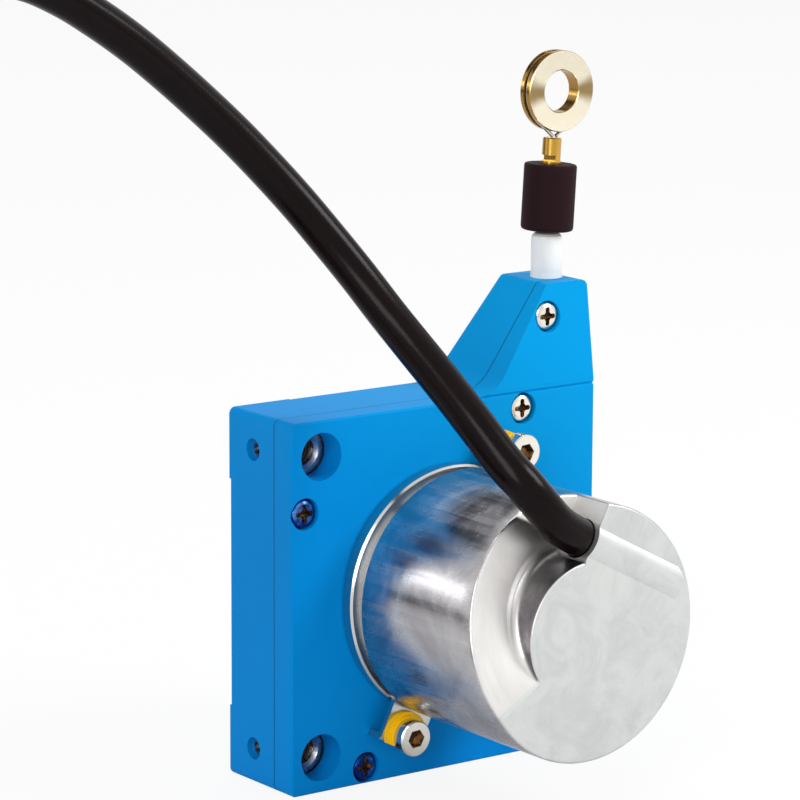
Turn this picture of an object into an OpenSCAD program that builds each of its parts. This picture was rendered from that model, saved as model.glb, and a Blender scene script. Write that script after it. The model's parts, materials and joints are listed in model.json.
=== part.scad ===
// Draw wire encoder: a square spring-return wire drum box with a rotary encoder on its front.
// Frame: X to the right, Z along the wire's pull, the encoder on the -Y side.
// The origin is the centre of the rear mounting face, on the plane of its corner pads.
// Inside facing() a point is (across, up, depth), with depth counted forward from that plane.

/* [Housing] */
// Width and height of the square housing body
housing_size = 55; // [53:0.5:62]
// Depth of the rear housing, from its pads to the seam
rear_depth = 11.4; // [11.2:0.1:14]
// Thickness of the front cover
cover_depth = 4.3; // [3.8:0.1:6]
// Rounding of the body's vertical corners
corner_round = 1; // [0.4:0.1:2]
// Height and width of the corner pads on the back
pad_size = 10.5; // [9:0.5:14]
// Relief of the back face between its pads
pad_step = 0.4; // [0.2:0.1:0.6]
// Thickness of the rear wall behind the spring
rear_wall = 1.6; // [1.3:0.1:1.8]
// Soft bevel along the cover's straight front edges
edge_bevel = 0.3; // [0.1:0.05:0.6]

/* [Wire neck] */
// Height of the neck above the body
neck_height = 15.4; // [12:0.2:22]
// Width of the neck's top
neck_top_width = 7.6; // [7:0.1:9]
// Angle of the neck's slanted side from the horizontal
neck_angle = 54.4; // [48:0.5:66]
// Inside fillet where the slanted side meets the body's top
neck_fillet = 7.5; // [3:0.5:10]
// Rounding of the neck's two top corners
neck_round = 1; // [0.4:0.1:1.2]
// Height of the crease above the body's top, where the neck starts to lean back
neck_crease = 0.85; // [0.5:0.05:3]
// Lean of the neck's front face
neck_front_lean = 7.66; // [4:0.1:9]
// Lean of the neck's back face
neck_back_lean = 9.4; // [4:0.1:10]

/* [Mounting] */
// Distance of each mounting hole from the two edges of its corner
mount_inset = 5.25; // [5.1:0.05:5.6]
// Radius of a mounting sleeve
sleeve_r = 4.2; // [3.9:0.05:4.3]
// Bore radius of a mounting sleeve
sleeve_bore_r = 2.2; // [2:0.05:2.4]
// Chamfer at the front of the sleeve's bore
sleeve_chamfer = 0.5; // [0.4:0.1:1.2]
// Setback of the sleeve's front end behind the seam
sleeve_setback = 0.3; // [0.1:0.05:0.6]
// Radius of the counterbore in the cover over each sleeve
counterbore_r = 3.5; // [3.3:0.05:3.7]
// Depth of the threaded side holes from the mounting plane
side_hole_depth = 6.1; // [5:0.1:7]
// Radius of the side holes in the moulding
side_hole_r = 1.65; // [1.5:0.05:1.75]
// Core radius of the thread in the sleeve's side
side_thread_r = 1.25; // [1.1:0.05:1.4]

/* [Cover screws] */
// Distance of each cover screw from its nearest edge
cover_screw_inset = 2.4; // [2.4:0.05:2.6]
// Distance of each cover screw from the centre line of its edge
cover_screw_offset = 14.2; // [13:0.1:15.5]
// Thread radius of the cover screws
cover_screw_r = 1.25; // [1:0.05:1.3]
// Length of thread below the head
cover_screw_length = 7; // [5:0.5:8]
// Head radius of the cover screws
cover_head_r = 2.15; // [1.8:0.05:2.2]
// Head height of the cover screws
cover_head_height = 1.4; // [1:0.05:1.5]
// Depth of the pocket that each head sits in
cover_head_pocket = 1.6; // [1.5:0.05:2.2]
// Clearance around each head in its pocket
cover_head_gap = 0.2; // [0.15:0.01:0.25]
// Distance of the neck screw from the neck's right side
neck_screw_inset = 7.8; // [7.6:0.1:8.2]
// Distance of the neck screw below the neck's top
neck_screw_drop = 4.8; // [4.5:0.1:5.5]

/* [Wire and drum] */
// Distance of the wire from the body's right side
wire_inset = 3.4; // [3.2:0.05:3.8]
// Distance of the wire behind the seam
wire_seam_gap = 3.1; // [2.6:0.1:3.4]
// Radius of the measuring wire
wire_r = 0.275; // [0.2:0.005:0.3]
// How far the drum's flanges stand out over the wire's centre
flange_over = 1.5; // [1:0.1:1.7]
// Thickness of each drum flange
flange_width = 0.5; // [0.4:0.05:0.7]
// Width of the winding between the flanges
winding_width = 4.6; // [4.2:0.1:4.8]
// Thickness of the drum's rim under the wire
rim_wall = 1.5; // [1:0.1:2.5]
// Thickness of the drum's web
web_wall = 1.2; // [0.8:0.1:1.6]
// Radius of the drum's rear sleeve, which holds the spring's inner end
drum_sleeve_r = 6; // [5.5:0.1:7]
// Radius of the drum's front collar
drum_collar_r = 5.5; // [5:0.1:6.5]
// Gap of the drum flanges to the chamber's wall
drum_gap = 0.6; // [0.4:0.05:0.7]
// Radius of the round openings in the web
web_hole_r = 3; // [2:0.1:3.5]

/* [Spring] */
// Width of the spring chamber
spring_room = 3.4; // [3.2:0.1:3.6]
// Width of the spring's strip
spring_width = 3; // [2.5:0.1:3.1]
// Thickness of the spring's strip
spring_strip = 0.25; // [0.15:0.01:0.3]
// Turns of the spring
spring_turns = 9; // [6:1:11]
// Thickness of the disc that covers the spring
spring_cover_wall = 0.5; // [0.3:0.05:0.6]

/* [Guide and wire end] */
// Radius of the wire guide above the neck
guide_r = 2.32; // [2:0.02:2.6]
// Height of the wire guide above the neck
guide_height = 6.7; // [5:0.1:9]
// Rounding of the guide's shoulder
guide_round = 0.9; // [0.4:0.1:1.2]
// Radius of the guide's stem inside the neck
stem_r = 2; // [1.6:0.05:2]
// Length of the guide's stem
stem_length = 8; // [5:0.5:10]
// Bore radius of the guide
guide_bore_r = 0.6; // [0.4:0.05:0.8]
// Radius of the wire channel below the guide
channel_r = 1.4; // [1:0.05:1.5]
// Angle that the wire's end leans to the right at rest
end_lean = 3.5; // [0:0.5:6]
// Gap between the guide and the stopper at rest
stopper_gap = 0.3; // [0.2:0.05:1]
// Radius of the rubber stopper
stopper_r = 3.95; // [3:0.05:5]
// Length of the rubber stopper
stopper_length = 10; // [6:0.2:14]
// Radius of the crimp ferrule
ferrule_r = 1.4; // [1.2:0.05:1.8]
// Length of the crimp ferrule above the stopper
ferrule_length = 3.9; // [3:0.1:6]
// Distance from the ferrule's top to the pull ring's centre
ring_reach = 7; // [6.8:0.1:9]
// Outer radius of the pull ring
ring_r = 6.05; // [5:0.05:6.2]
// Radius of the pull ring's hole
ring_hole_r = 3.15; // [2.5:0.05:3.4]
// Thickness of the pull ring
ring_width = 2.4; // [1.6:0.1:3]
// Depth of the groove around the pull ring
ring_groove = 0.8; // [0.6:0.05:1]
// How far the ring stands in front of the wire's line
ring_forward = 0.4; // [0:0.05:0.6]
// Height of the notch at the ferrule's foot
ferrule_notch = 0.9; // [0.5:0.05:1.2]

/* [Encoder] */
// Radius of the encoder's flange and can
encoder_r = 18.65; // [18.4:0.05:19]
// Length of the encoder in front of the cover
encoder_length = 33.67; // [32.5:0.1:38]
// Width of the flange's lip
lip_width = 2.35; // [2:0.05:2.6]
// Width of the groove that the clamps grip
groove_width = 2.25; // [2:0.05:2.6]
// Depth of the clamp groove
groove_depth = 1.45; // [1.2:0.05:1.5]
// Radius of the flange's centring spigot
pilot_r = 10; // [9:0.1:11]
// Length of the centring spigot
pilot_length = 2; // [1.5:0.1:2.4]
// Length of the flange's spigot inside the can
can_lap = 3.7; // [3.4:0.1:4.5]
// Wall of the can beside its cavity
can_wall = 2.25; // [1.8:0.05:2.4]
// Bevel around the can's face
face_bevel = 0.4; // [0.2:0.05:0.6]
// Length of the can's cavity behind the flange's spigot
cavity_length = 17; // [16:0.1:17.2]

/* [Cable ramp] */
// Width of the ramp, from the round boss to the can's side
ramp_width = 8.25; // [7.6:0.05:8.8]
// Angle of the ramp's shallow end, counted from the right side
ramp_start = 213.5; // [200:0.5:225]
// Deepest drop of the ramp below the face
ramp_drop = 7; // [6.4:0.1:7]
// Angle over which the ramp reaches its deepest
ramp_span = 130; // [110:1:130]
// Direction that the cable leaves in, as an angle in the face's plane
exit_angle = 152.3; // [140:0.1:160]
// Distance of the step wall from the encoder's axis
step_reach = 5.69; // [5.2:0.05:6.5]
// Distance of the cable's axis from the can's side, square to the cable
cable_inset = 6.75; // [6.5:0.05:6.9]
// Depth of the cable's axis below the face
cable_drop = 3.1; // [3:0.05:3.2]
// Radius of the cable
cable_r = 2.8; // [2.6:0.05:2.85]
// Clearance around the cable in its bore
cable_gap = 0.15; // [0.05:0.01:0.2]
// Radius of the ridge over the bore
ridge_r = 3.8; // [3.5:0.05:4]
// Length of the ridge along the face
ridge_length = 18.2; // [12:0.1:18.5]

/* [Servo clamps] */
// Angle of the first clamp, counted from the right side
clamp_angle = 63.8; // [55:0.1:70]
// Width of each clamp
clamp_width = 7.4; // [6:0.1:8]
// Sheet thickness of each clamp
clamp_sheet = 0.9; // [0.7:0.05:1]
// Distance of the clamp's screw from the flange's edge
clamp_screw_gap = 3.65; // [3.6:0.05:3.9]
// Radius of the clamp's plastic washer
washer_r = 3.5; // [3.2:0.05:3.6]
// Height of the washer's base
washer_base = 0.75; // [0.6:0.05:1]
// Height of the raised seat on the washer
washer_seat = 0.4; // [0.3:0.05:0.6]
// Head radius of the clamp screw
clamp_head_r = 2.65; // [2.4:0.05:2.75]
// Head height of the clamp screw
clamp_head_height = 2; // [1.8:0.05:2.6]
// Thread radius of the clamp screw
clamp_screw_r = 1.5; // [1.3:0.05:1.5]
// Hexagon key size of the clamp screw
clamp_key = 2.5; // [2:0.5:2.5]

/* [Encoder inside] */
// Radius of the encoder's shaft
shaft_r = 3; // [2.8:0.05:3]
// Outer radius of the ball bearings
bearing_r = 6; // [5.8:0.05:6.4]
// Width of each ball bearing
bearing_width = 3; // [2.6:0.1:3.2]
// Radius of the bearing balls
ball_r = 0.75; // [0.7:0.01:0.8]
// Balls in each bearing
ball_count = 8; // [6:1:9]
// Gap between the code disc and the board's posts
code_gap = 0.3; // [0.2:0.05:0.8]
// Thickness of the code disc
code_wall = 0.6; // [0.4:0.05:0.8]
// Windows around the code disc
code_windows = 24; // [12:1:36]
// Gap between the circuit board and the can's wall
board_gap = 0.9; // [0.6:0.05:1.4]
// Thickness of the circuit board
board_wall = 1.2; // [0.8:0.1:1.6]
// Radius of the board's posts across their corners
post_r = 1.8; // [1.6:0.05:1.9]
// Gap between the posts and the can's wall
post_gap = 1; // [0.8:0.05:1.1]
// Length of the board's posts
post_length = 9.4; // [9.2:0.1:9.8]

/* [Cable] */
// Turns of the spare cable's coil in each layer
coil_turns = 3; // [2:1:4]
// Radius of the coil's middle turn
coil_r = 34; // [30:0.5:38]
// Distance of the coil's centre left of the housing's centre
coil_left = 135; // [128:1:150]
// Distance of the coil's centre in front of the mounting plane
coil_front = 10; // [5:1:20]

/* [Hidden] */
$fn = 64;

// overlap used to cut clean through a face
cut = 1;
// sliding fit, gap beside a turning piece, and gap around a screw
fit_gap = 0.05;
turn_gap = 0.3;
screw_gap = 0.1;
half = housing_size / 2;
front_d = rear_depth + cover_depth;
neck_top = half + neck_height;

// neck outline
neck_left = half - neck_top_width;
neck_foot = neck_left - neck_height / tan(neck_angle);
fillet_run = neck_fillet * tan(neck_angle / 2);
round_run = neck_round * tan(neck_angle / 2);
crease_z = half + neck_crease;

// depth stations of the drum chamber
spring_floor = pad_step + rear_wall;
drum_rear_gap = 0.2;
ledge_d = spring_floor + spring_room;
drum_d = ledge_d + spring_cover_wall + drum_rear_gap;
winding_d = drum_d + flange_width;
winding_end = winding_d + winding_width;
drum_end = winding_end + flange_width;
recess_d = drum_end + drum_gap;

wire_x = half - wire_inset;
wire_depth = rear_depth - wire_seam_gap;
root_r = wire_x - wire_r;
drum_r = wire_x + flange_over;
chamber_r = drum_r + drum_gap;
spring_ledge = 0.6;
spring_chamber_r = chamber_r - spring_ledge;
rim_r = root_r - rim_wall;
sleeve_start = spring_floor + turn_gap;
collar_end = recess_d + turn_gap;
wire_start = sqrt(pow(wire_x + 2 * wire_r, 2) - pow(wire_x, 2));

// encoder depth stations
lip_d = front_d + lip_width;
groove_d = lip_d + groove_width;
face_d = front_d + encoder_length;
lap_d = groove_d + can_lap;
cavity_d = lap_d + cavity_length;
groove_r = encoder_r - groove_depth;
boss_r = encoder_r - ramp_width;
cable_side = encoder_r - cable_inset;
can_bore_r = groove_r + fit_gap;
cavity_r = encoder_r - can_wall;
board_r = cavity_r - board_gap;
post_reach = cavity_r - post_gap - post_r;
code_r = post_reach - post_r - code_gap;
cable_d = face_d - cable_drop;
cable_bore_r = cable_r + cable_gap;

module facing() {
    rotate([90, 0, 0]) children();
}

// a ring about the depth axis
module ring(outer, inner, from, to) {
    translate([0, 0, from])
        difference() {
            cylinder(r = outer, h = to - from);
            translate([0, 0, -cut]) cylinder(r = inner, h = to - from + 2 * cut);
        }
}

// a round bar about the depth axis
module bar(radius, from, to) {
    translate([0, 0, from]) cylinder(r = radius, h = to - from);
}

// a profile of (up, depth) points, drawn across the body
module across(points, from, to) {
    translate([from, 0, 0])
        rotate([90, 0, 90])
            linear_extrude(to - from) polygon(points);
}

module rounded_square(side, r) {
    square([side - 2 * r, side], center = true);
    square([side, side - 2 * r], center = true);
    for (x = [-1, 1])
        for (z = [-1, 1])
            translate([x * (side / 2 - r), z * (side / 2 - r)]) circle(r = r);
}

module neck_shape() {
    left_x = neck_foot - fillet_run;
    slant = [cos(neck_angle), sin(neck_angle)];
    difference() {
        polygon([
            [left_x, half - neck_fillet],
            [half, half - neck_fillet],
            [half, neck_top - neck_round],
            [half - neck_round, neck_top],
            [neck_left + round_run, neck_top],
            [neck_left - round_run * slant[0], neck_top - round_run * slant[1]],
            [neck_foot + fillet_run * slant[0], half + fillet_run * slant[1]],
            [left_x, half]
        ]);
        translate([left_x, half + neck_fillet]) circle(r = neck_fillet);
    }
    translate([half - neck_round, neck_top - neck_round]) circle(r = neck_round);
    translate([neck_left + round_run, neck_top - neck_round]) circle(r = neck_round);
}

module outline() {
    rounded_square(housing_size, corner_round);
    neck_shape();
}

// the three mounting holes: the fourth corner carries the wire
mount_reach = half - mount_inset;
mount_points = [[-1, 1], [-1, -1], [1, -1]];

module at_mounts() {
    for (p = mount_points)
        translate([p[0] * mount_reach, p[1] * mount_reach, 0]) children();
}

// the four body screws, one beside each edge
screw_reach = half - cover_screw_inset;
screw_points = [for (k = [0:3]) [
    sin(90 * k) * screw_reach + cos(90 * k) * cover_screw_offset,
    cos(90 * k) * screw_reach - sin(90 * k) * cover_screw_offset
]];
neck_screw = [half - neck_screw_inset, neck_top - neck_screw_drop];
neck_screw_rise = 0.1;
neck_face_d = front_d - (neck_screw[1] - crease_z) * tan(neck_front_lean);
neck_floor_d = neck_face_d - cover_head_pocket + neck_screw_rise;
body_floor_d = front_d - cover_head_pocket;

module at_cover_screws() {
    for (p = screw_points)
        translate([p[0], p[1], body_floor_d]) children();
    translate([neck_screw[0], neck_screw[1], neck_floor_d]) children();
}

// what the neck's two leaning faces cut away
module front_lean_cut() {
    rise = neck_top + cut - crease_z;
    across([
        [crease_z, front_d],
        [crease_z, front_d + cut],
        [neck_top + cut, front_d + cut],
        [neck_top + cut, front_d - rise * tan(neck_front_lean)]
    ], neck_foot - neck_fillet - cut, half + cut);
}

module back_lean_cut() {
    rise = neck_top + cut - crease_z;
    across([
        [crease_z, -cut],
        [crease_z, pad_step],
        [neck_top + cut, pad_step + rise * tan(neck_back_lean)],
        [neck_top + cut, -cut]
    ], neck_foot - neck_fillet - cut, half + cut);
}

// the relief between the four corner pads on the back
module back_relief() {
    gap = housing_size - 2 * pad_size;
    translate([-half - cut, -gap / 2, -cut]) cube([housing_size + 2 * cut, gap, pad_step + cut]);
    translate([-gap / 2, -half - cut, -cut]) cube([gap, housing_size + 2 * cut, pad_step + cut]);
    translate([-half - cut, half, -cut])
        cube([housing_size + 2 * cut, neck_crease, pad_step + cut]);
}

module rear_housing() {
    color("#0a7fc0")
        facing()
            difference() {
                linear_extrude(rear_depth) outline();
                back_relief();
                back_lean_cut();
                bar(spring_chamber_r, spring_floor, rear_depth + cut);
                bar(chamber_r, ledge_d, rear_depth + cut);
                bar(bush_r, bush_floor, spring_floor + cut);
                at_mounts() translate([0, 0, -cut]) cylinder(r = sleeve_r, h = rear_depth + 2 * cut);
                side_holes(side_hole_r);
                at_cover_screws()
                    translate([0, 0, -cover_screw_length]) cylinder(r = cover_screw_r, h = cover_screw_length);
                spring_slot();
                on_wire_bore(channel_r, 0, neck_top - stem_length + cut);
                on_wire_bore(stem_r, neck_top - stem_length, neck_top + cut);
            }
}

// a bore along the wire's line
module on_wire_bore(radius, from, to) {
    translate([wire_x, from, wire_depth])
        rotate([-90, 0, 0]) cylinder(r = radius, h = to - from);
}

// the two holes in the left side, which lead to the threads in the sleeves
module side_holes(radius) {
    for (z = [-1, 1])
        translate([-half - cut, z * mount_reach, side_hole_depth])
            rotate([0, 90, 0]) cylinder(r = radius, h = half + cut - mount_reach);
}

module front_cover() {
    color("#0a86c8")
        facing()
            difference() {
                translate([0, 0, rear_depth]) linear_extrude(cover_depth) outline();
                front_lean_cut();
                bar(chamber_r, rear_depth - cut, recess_d);
                bar(pilot_r + fit_gap, rear_depth, front_d + cut);
                at_mounts()
                    translate([0, 0, rear_depth - cut]) cylinder(r = counterbore_r, h = cover_depth + 2 * cut);
                at_cover_screws() {
                    translate([0, 0, -cover_depth]) cylinder(r = cover_screw_r + screw_gap, h = cover_depth + cut);
                    cylinder(r = cover_head_r + cover_head_gap, h = cover_head_pocket + cut);
                }
                at_clamps()
                    translate([clamp_reach, 0, rear_depth]) cylinder(r = clamp_screw_r, h = cover_depth + cut);
                bevel_cuts();
            }
}

// the bevels along the cover's three free front edges
module bevel_cuts() {
    for (a = [90, 180, 270])
        rotate([0, 0, a])
            translate([half, 0, front_d])
                rotate([0, 45, 0])
                    cube([edge_bevel * sqrt(2), housing_size + 2 * cut, edge_bevel * sqrt(2)], center = true);
}

module mounting_sleeves() {
    color("#b9bcc0")
        facing()
            difference() {
                at_mounts()
                    rotate_extrude()
                        polygon([
                            [sleeve_bore_r, 0],
                            [sleeve_r, 0],
                            [sleeve_r, rear_depth - sleeve_setback],
                            [sleeve_bore_r + sleeve_chamfer, rear_depth - sleeve_setback],
                            [sleeve_bore_r, rear_depth - sleeve_setback - sleeve_chamfer]
                        ]);
                side_holes(side_thread_r);
            }
}

// a cross recess with four rounded arms, cut down from z = 0
module cross_recess(size, depth) {
    arm_r = size * 0.26;
    translate([0, 0, -depth]) {
        cylinder(r = size * 0.5, h = depth + cut);
        for (k = [0:3])
            rotate([0, 0, 90 * k]) {
                translate([size - arm_r, 0, 0]) cylinder(r = arm_r, h = depth + cut);
                translate([0, -arm_r, 0]) cube([size - arm_r, 2 * arm_r, depth + cut]);
            }
    }
}

module cover_screws() {
    recess_r = cover_head_r * 0.66;
    color("#c9ccd2")
        facing()
            at_cover_screws()
                difference() {
                    rotate_extrude()
                        polygon([
                            [0, -cover_screw_length],
                            [cover_screw_r, -cover_screw_length],
                            [cover_screw_r, 0],
                            [cover_head_r, 0],
                            [cover_head_r, cover_head_height * 0.45],
                            [cover_head_r - cover_head_height * 0.07, cover_head_height * 0.7],
                            [cover_head_r - cover_head_height * 0.22, cover_head_height * 0.88],
                            [cover_head_r - cover_head_height * 0.48, cover_head_height],
                            [0, cover_head_height]
                        ]);
                    translate([0, 0, cover_head_height]) cross_recess(recess_r, cover_head_height * 0.75);
                }
}

bush_r = 4.6;
bush_wall = 0.5;
bush_floor = pad_step + bush_wall;
shaft_start = bush_floor + turn_gap / 2;

module rear_bush() {
    color("#e8e4d8") facing() ring(bush_r, shaft_r + fit_gap, bush_floor, spring_floor);
}

module spring_cover() {
    color("#d9dadb")
        facing() ring(chamber_r - fit_gap, drum_sleeve_r + 2 * turn_gap, ledge_d, ledge_d + spring_cover_wall);
}

// flat spiral strip from the drum's sleeve to the chamber's wall
spring_inner = drum_sleeve_r + turn_gap;
spring_outer = spring_chamber_r - turn_gap - spring_strip;
spring_steps = 20;
hook_slot = spring_strip + 2 * turn_gap;
hook_length = 1;

function spiral_r(t) = spring_inner + (spring_outer - spring_inner) * t;
function spiral_point(t, side) =
    [cos(360 * spring_turns * t), sin(360 * spring_turns * t)] * (spiral_r(t) + side);

// the hook's slot in the chamber's wall, on the spring's outer end
module spring_slot() {
    translate([spring_outer - cut, -hook_slot / 2, spring_floor])
        cube([spring_strip + turn_gap + hook_length + cut, hook_slot, spring_room]);
}

module spiral_spring() {
    count = spring_turns * spring_steps;
    outside = [for (k = [0:count]) spiral_point(k / count, spring_strip)];
    inside = [for (k = [count:-1:0]) spiral_point(k / count, 0)];
    color("#9aa3ad")
        facing()
            translate([0, 0, spring_floor + (spring_room - spring_width) / 2]) {
                linear_extrude(spring_width) polygon(concat(outside, inside));
                translate([spring_outer + spring_strip / 2, -spring_strip / 2, 0])
                    cube([hook_length, spring_strip, spring_width]);
                translate([spring_inner + spring_strip / 2 - hook_length, -spring_strip / 2, 0])
                    cube([hook_length, spring_strip, spring_width]);
            }
}

module wire_drum() {
    web_mid = (drum_collar_r + rim_r) / 2;
    color("#3b3f45")
        facing()
            difference() {
                rotate_extrude()
                    polygon([
                        [shaft_r, sleeve_start],
                        [drum_sleeve_r, sleeve_start],
                        [drum_sleeve_r, drum_d],
                        [drum_r, drum_d],
                        [drum_r, winding_d],
                        [root_r, winding_d],
                        [root_r, winding_end],
                        [drum_r, winding_end],
                        [drum_r, drum_end],
                        [rim_r, drum_end],
                        [rim_r, drum_d + web_wall],
                        [drum_collar_r, drum_d + web_wall],
                        [drum_collar_r, collar_end],
                        [shaft_r, collar_end]
                    ]);
                for (k = [0:5])
                    rotate([0, 0, 60 * k + 30])
                        translate([web_mid, 0, drum_d - cut]) cylinder(r = web_hole_r, h = web_wall + 2 * cut);
                grub_bore(grub_r);
                translate([drum_sleeve_r - hook_length, -hook_slot / 2, sleeve_start - cut])
                    cube([hook_length + cut, hook_slot, ledge_d + cut - sleeve_start]);
            }
}

grub_r = 1.25;
grub_d = (drum_d + web_wall + collar_end) / 2;
flat_r = shaft_r - turn_gap;

module grub_bore(radius) {
    rotate([0, 0, 180])
        translate([0, 0, grub_d])
            rotate([0, 90, 0]) cylinder(r = radius, h = drum_collar_r + cut);
}

module drum_grub_screw() {
    color("#54575c")
        facing()
            rotate([0, 0, 180])
                translate([flat_r, 0, grub_d])
                    rotate([0, 90, 0])
                        difference() {
                            cylinder(r = grub_r, h = drum_collar_r - flat_r - screw_gap);
                            translate([0, 0, grub_r]) cylinder(r = grub_r * 0.6, h = drum_collar_r, $fn = 6);
                        }
}

// the layer of wire, turn against turn, from flange to flange
module wound_wire() {
    turns = floor(winding_width / (2 * wire_r));
    pitch = (winding_width - 2 * wire_r) / (turns - 1);
    color("#c8ccd0")
        facing()
            rotate_extrude() {
                for (k = [0:turns - 1])
                    translate([wire_x, winding_d + wire_r + k * pitch]) circle(r = wire_r);
                translate([root_r, winding_d + wire_r]) square([wire_r, winding_width - 2 * wire_r]);
            }
}

// bearings: the front one stands in the spigot, the rear one in the flange's hub
bearing_front = front_d + 0.8;
bearing_back = lap_d - 1;
bearing_starts = [bearing_front, bearing_back];
race_r = (shaft_r + bearing_r) / 2;
race_half = 0.5;
hub_r = bearing_r + 2.2;
bearing_lip = 0.7;

module encoder_flange() {
    hub_end = bearing_back + bearing_width + 1.5;
    color("#c3c6c8")
        facing()
            difference() {
                rotate_extrude()
                    polygon([
                        [bearing_r, front_d - pilot_length],
                        [pilot_r, front_d - pilot_length],
                        [pilot_r, front_d],
                        [encoder_r - lip_bevel, front_d],
                        [encoder_r, front_d + lip_bevel],
                        [encoder_r, lip_d - lip_bevel],
                        [encoder_r - lip_bevel, lip_d],
                        [groove_r, lip_d],
                        [groove_r, seal_start],
                        [seal_r, seal_start],
                        [seal_r, seal_end],
                        [groove_r, seal_end],
                        [groove_r, lap_d],
                        [hub_r, lap_d],
                        [hub_r, hub_end],
                        [bearing_r, hub_end],
                        [bearing_r, bearing_back],
                        [bearing_r - bearing_lip, bearing_back],
                        [bearing_r - bearing_lip, bearing_front + bearing_width],
                        [bearing_r, bearing_front + bearing_width]
                    ]);
                at_posts() translate([0, 0, lap_d - stud_length]) cylinder(r = stud_r, h = stud_length + cut);
            }
}

lip_bevel = 0.3;
seal_start = groove_d + 1;
seal_end = seal_start + 1.4;
seal_r = groove_r - 0.8;
stud_r = 1;
stud_length = 2.4;
stud_gap = 0.2;
post_screw_length = post_length / 3;

module can_seal() {
    mid = (seal_start + seal_end) / 2;
    color("#26262a")
        facing()
            rotate_extrude()
                polygon([
                    [seal_r, mid - 0.5],
                    [seal_r + 0.25, mid - 0.65],
                    [can_bore_r - 0.25, mid - 0.65],
                    [can_bore_r, mid - 0.5],
                    [can_bore_r, mid + 0.5],
                    [can_bore_r - 0.25, mid + 0.65],
                    [seal_r + 0.25, mid + 0.65],
                    [seal_r, mid + 0.5]
                ]);
}

// cable directions in the face's plane: along the cable, and beside it
function along(s, side) = [
    s * cos(exit_angle) + side * sin(exit_angle),
    s * sin(exit_angle) - side * cos(exit_angle)
];

// anything built along the cable's line: local X runs out with the cable, local Y to its side
module along_cable() {
    rotate([0, 0, exit_angle]) mirror([0, 1, 0]) children();
}

// a round bar on the cable's own line
module cable_bar(radius, from, to) {
    along_cable()
        translate([from, cable_side, cable_d])
            rotate([0, 90, 0]) cylinder(r = radius, h = to - from);
}

// the helical ramp: how deep it lies at an angle past its shallow end
function ramp_depth(a) = ramp_drop * sin(90 * min(a, ramp_span) / ramp_span) - 0.05;
ramp_step = 5;
ramp_sections = floor((ramp_start - exit_angle + 90) / ramp_step);
ramp_out = encoder_r + cut;
fillet_a = 1.2;
fillet_b = 0.35;

function ramp_section(k) =
    let (
        a = ramp_start - k * ramp_step,
        floor_d = face_d - ramp_depth(k * ramp_step),
        sketch = [
            [boss_r, face_d + 2],
            [boss_r, floor_d + fillet_a],
            [boss_r + fillet_b, floor_d + fillet_b],
            [boss_r + fillet_a, floor_d],
            [ramp_out, floor_d],
            [ramp_out, face_d + 2]
        ]
    )
    [for (p = sketch) [p[0] * cos(a), p[0] * sin(a), p[1]]];

module ramp_sweep() {
    points = [for (k = [0:ramp_sections]) for (p = ramp_section(k)) p];
    sides = [for (k = [0:ramp_sections - 1]) for (j = [0:5]) for (h = [0:1])
        h == 0
            ? [6 * k + j, 6 * (k + 1) + (j + 1) % 6, 6 * k + (j + 1) % 6]
            : [6 * k + j, 6 * (k + 1) + j, 6 * (k + 1) + (j + 1) % 6]];
    start_cap = [for (j = [1:4]) [0, j, j + 1]];
    last = 6 * ramp_sections;
    end_cap = [for (j = [1:4]) [last, last + j + 1, last + j]];
    polyhedron(points = points, faces = concat(sides, start_cap, end_cap), convexity = 6);
}

// the ramp stops at the step wall, square to the cable
module cable_ramp() {
    intersection() {
        ramp_sweep();
        along_cable()
            translate([step_reach, -2 * encoder_r, face_d - 2 * ramp_drop])
                cube([2 * encoder_r, 4 * encoder_r, 2 * ramp_drop + 4]);
    }
}

// the trough in the ramp's floor, just outside the step wall
module cable_trough() {
    trough_r = cable_bore_r;
    trough_d = face_d - ramp_drop - 0.2 + trough_r;
    along_cable()
        translate([step_reach, cable_side + 1, 0]) {
            translate([0, 0, trough_d])
                rotate([0, 90, 0]) cylinder(r = trough_r, h = 2 * encoder_r);
            translate([0, -trough_r, trough_d])
                cube([2 * encoder_r, 2 * trough_r, face_d]);
        }
}

bore_end = step_reach - 12.2;
drop_reach = bore_end + 2.1;
drop_r = 2;

module encoder_can() {
    pocket_d = face_d - 1.2;
    color("#c9cbcc")
        facing()
            difference() {
                union() {
                    rotate_extrude()
                        polygon([
                            [can_bore_r, groove_d],
                            [encoder_r - lip_bevel, groove_d],
                            [encoder_r, groove_d + lip_bevel],
                            [encoder_r, face_d - face_bevel],
                            [encoder_r - face_bevel, face_d],
                            [0, face_d],
                            [0, pocket_d],
                            [boss_r - 2, pocket_d],
                            [boss_r - 2, cavity_d],
                            [cavity_r, cavity_d],
                            [cavity_r, lap_d],
                            [can_bore_r, lap_d]
                        ]);
                    cable_ridge();
                }
                cable_ramp();
                cable_trough();
                cable_bar(cable_bore_r, bore_end, step_reach + cut);
                along_cable()
                    translate([drop_reach, cable_side, cavity_d - cut])
                        cylinder(r = drop_r, h = cable_d + cut - cavity_d);
            }
}

// the raised ridge over the cable's bore, cut off flat at its far end
module cable_ridge() {
    intersection() {
        cable_bar(ridge_r, step_reach - ridge_length, step_reach);
        bar(encoder_r - face_bevel, face_d - cable_drop, face_d + ridge_r);
    }
}

module encoder_shaft() {
    color("#bfc3c7")
        facing()
            difference() {
                bar(shaft_r, shaft_start, code_d + code_wall + 0.4);
                translate([-2 * shaft_r - flat_r, -shaft_r, grub_d - 1.6])
                    cube([2 * shaft_r, 2 * shaft_r, 3.2]);
            }
}

module race_groove(start) {
    translate([race_r, start + bearing_width / 2]) circle(r = ball_r + 0.02);
}

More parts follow.
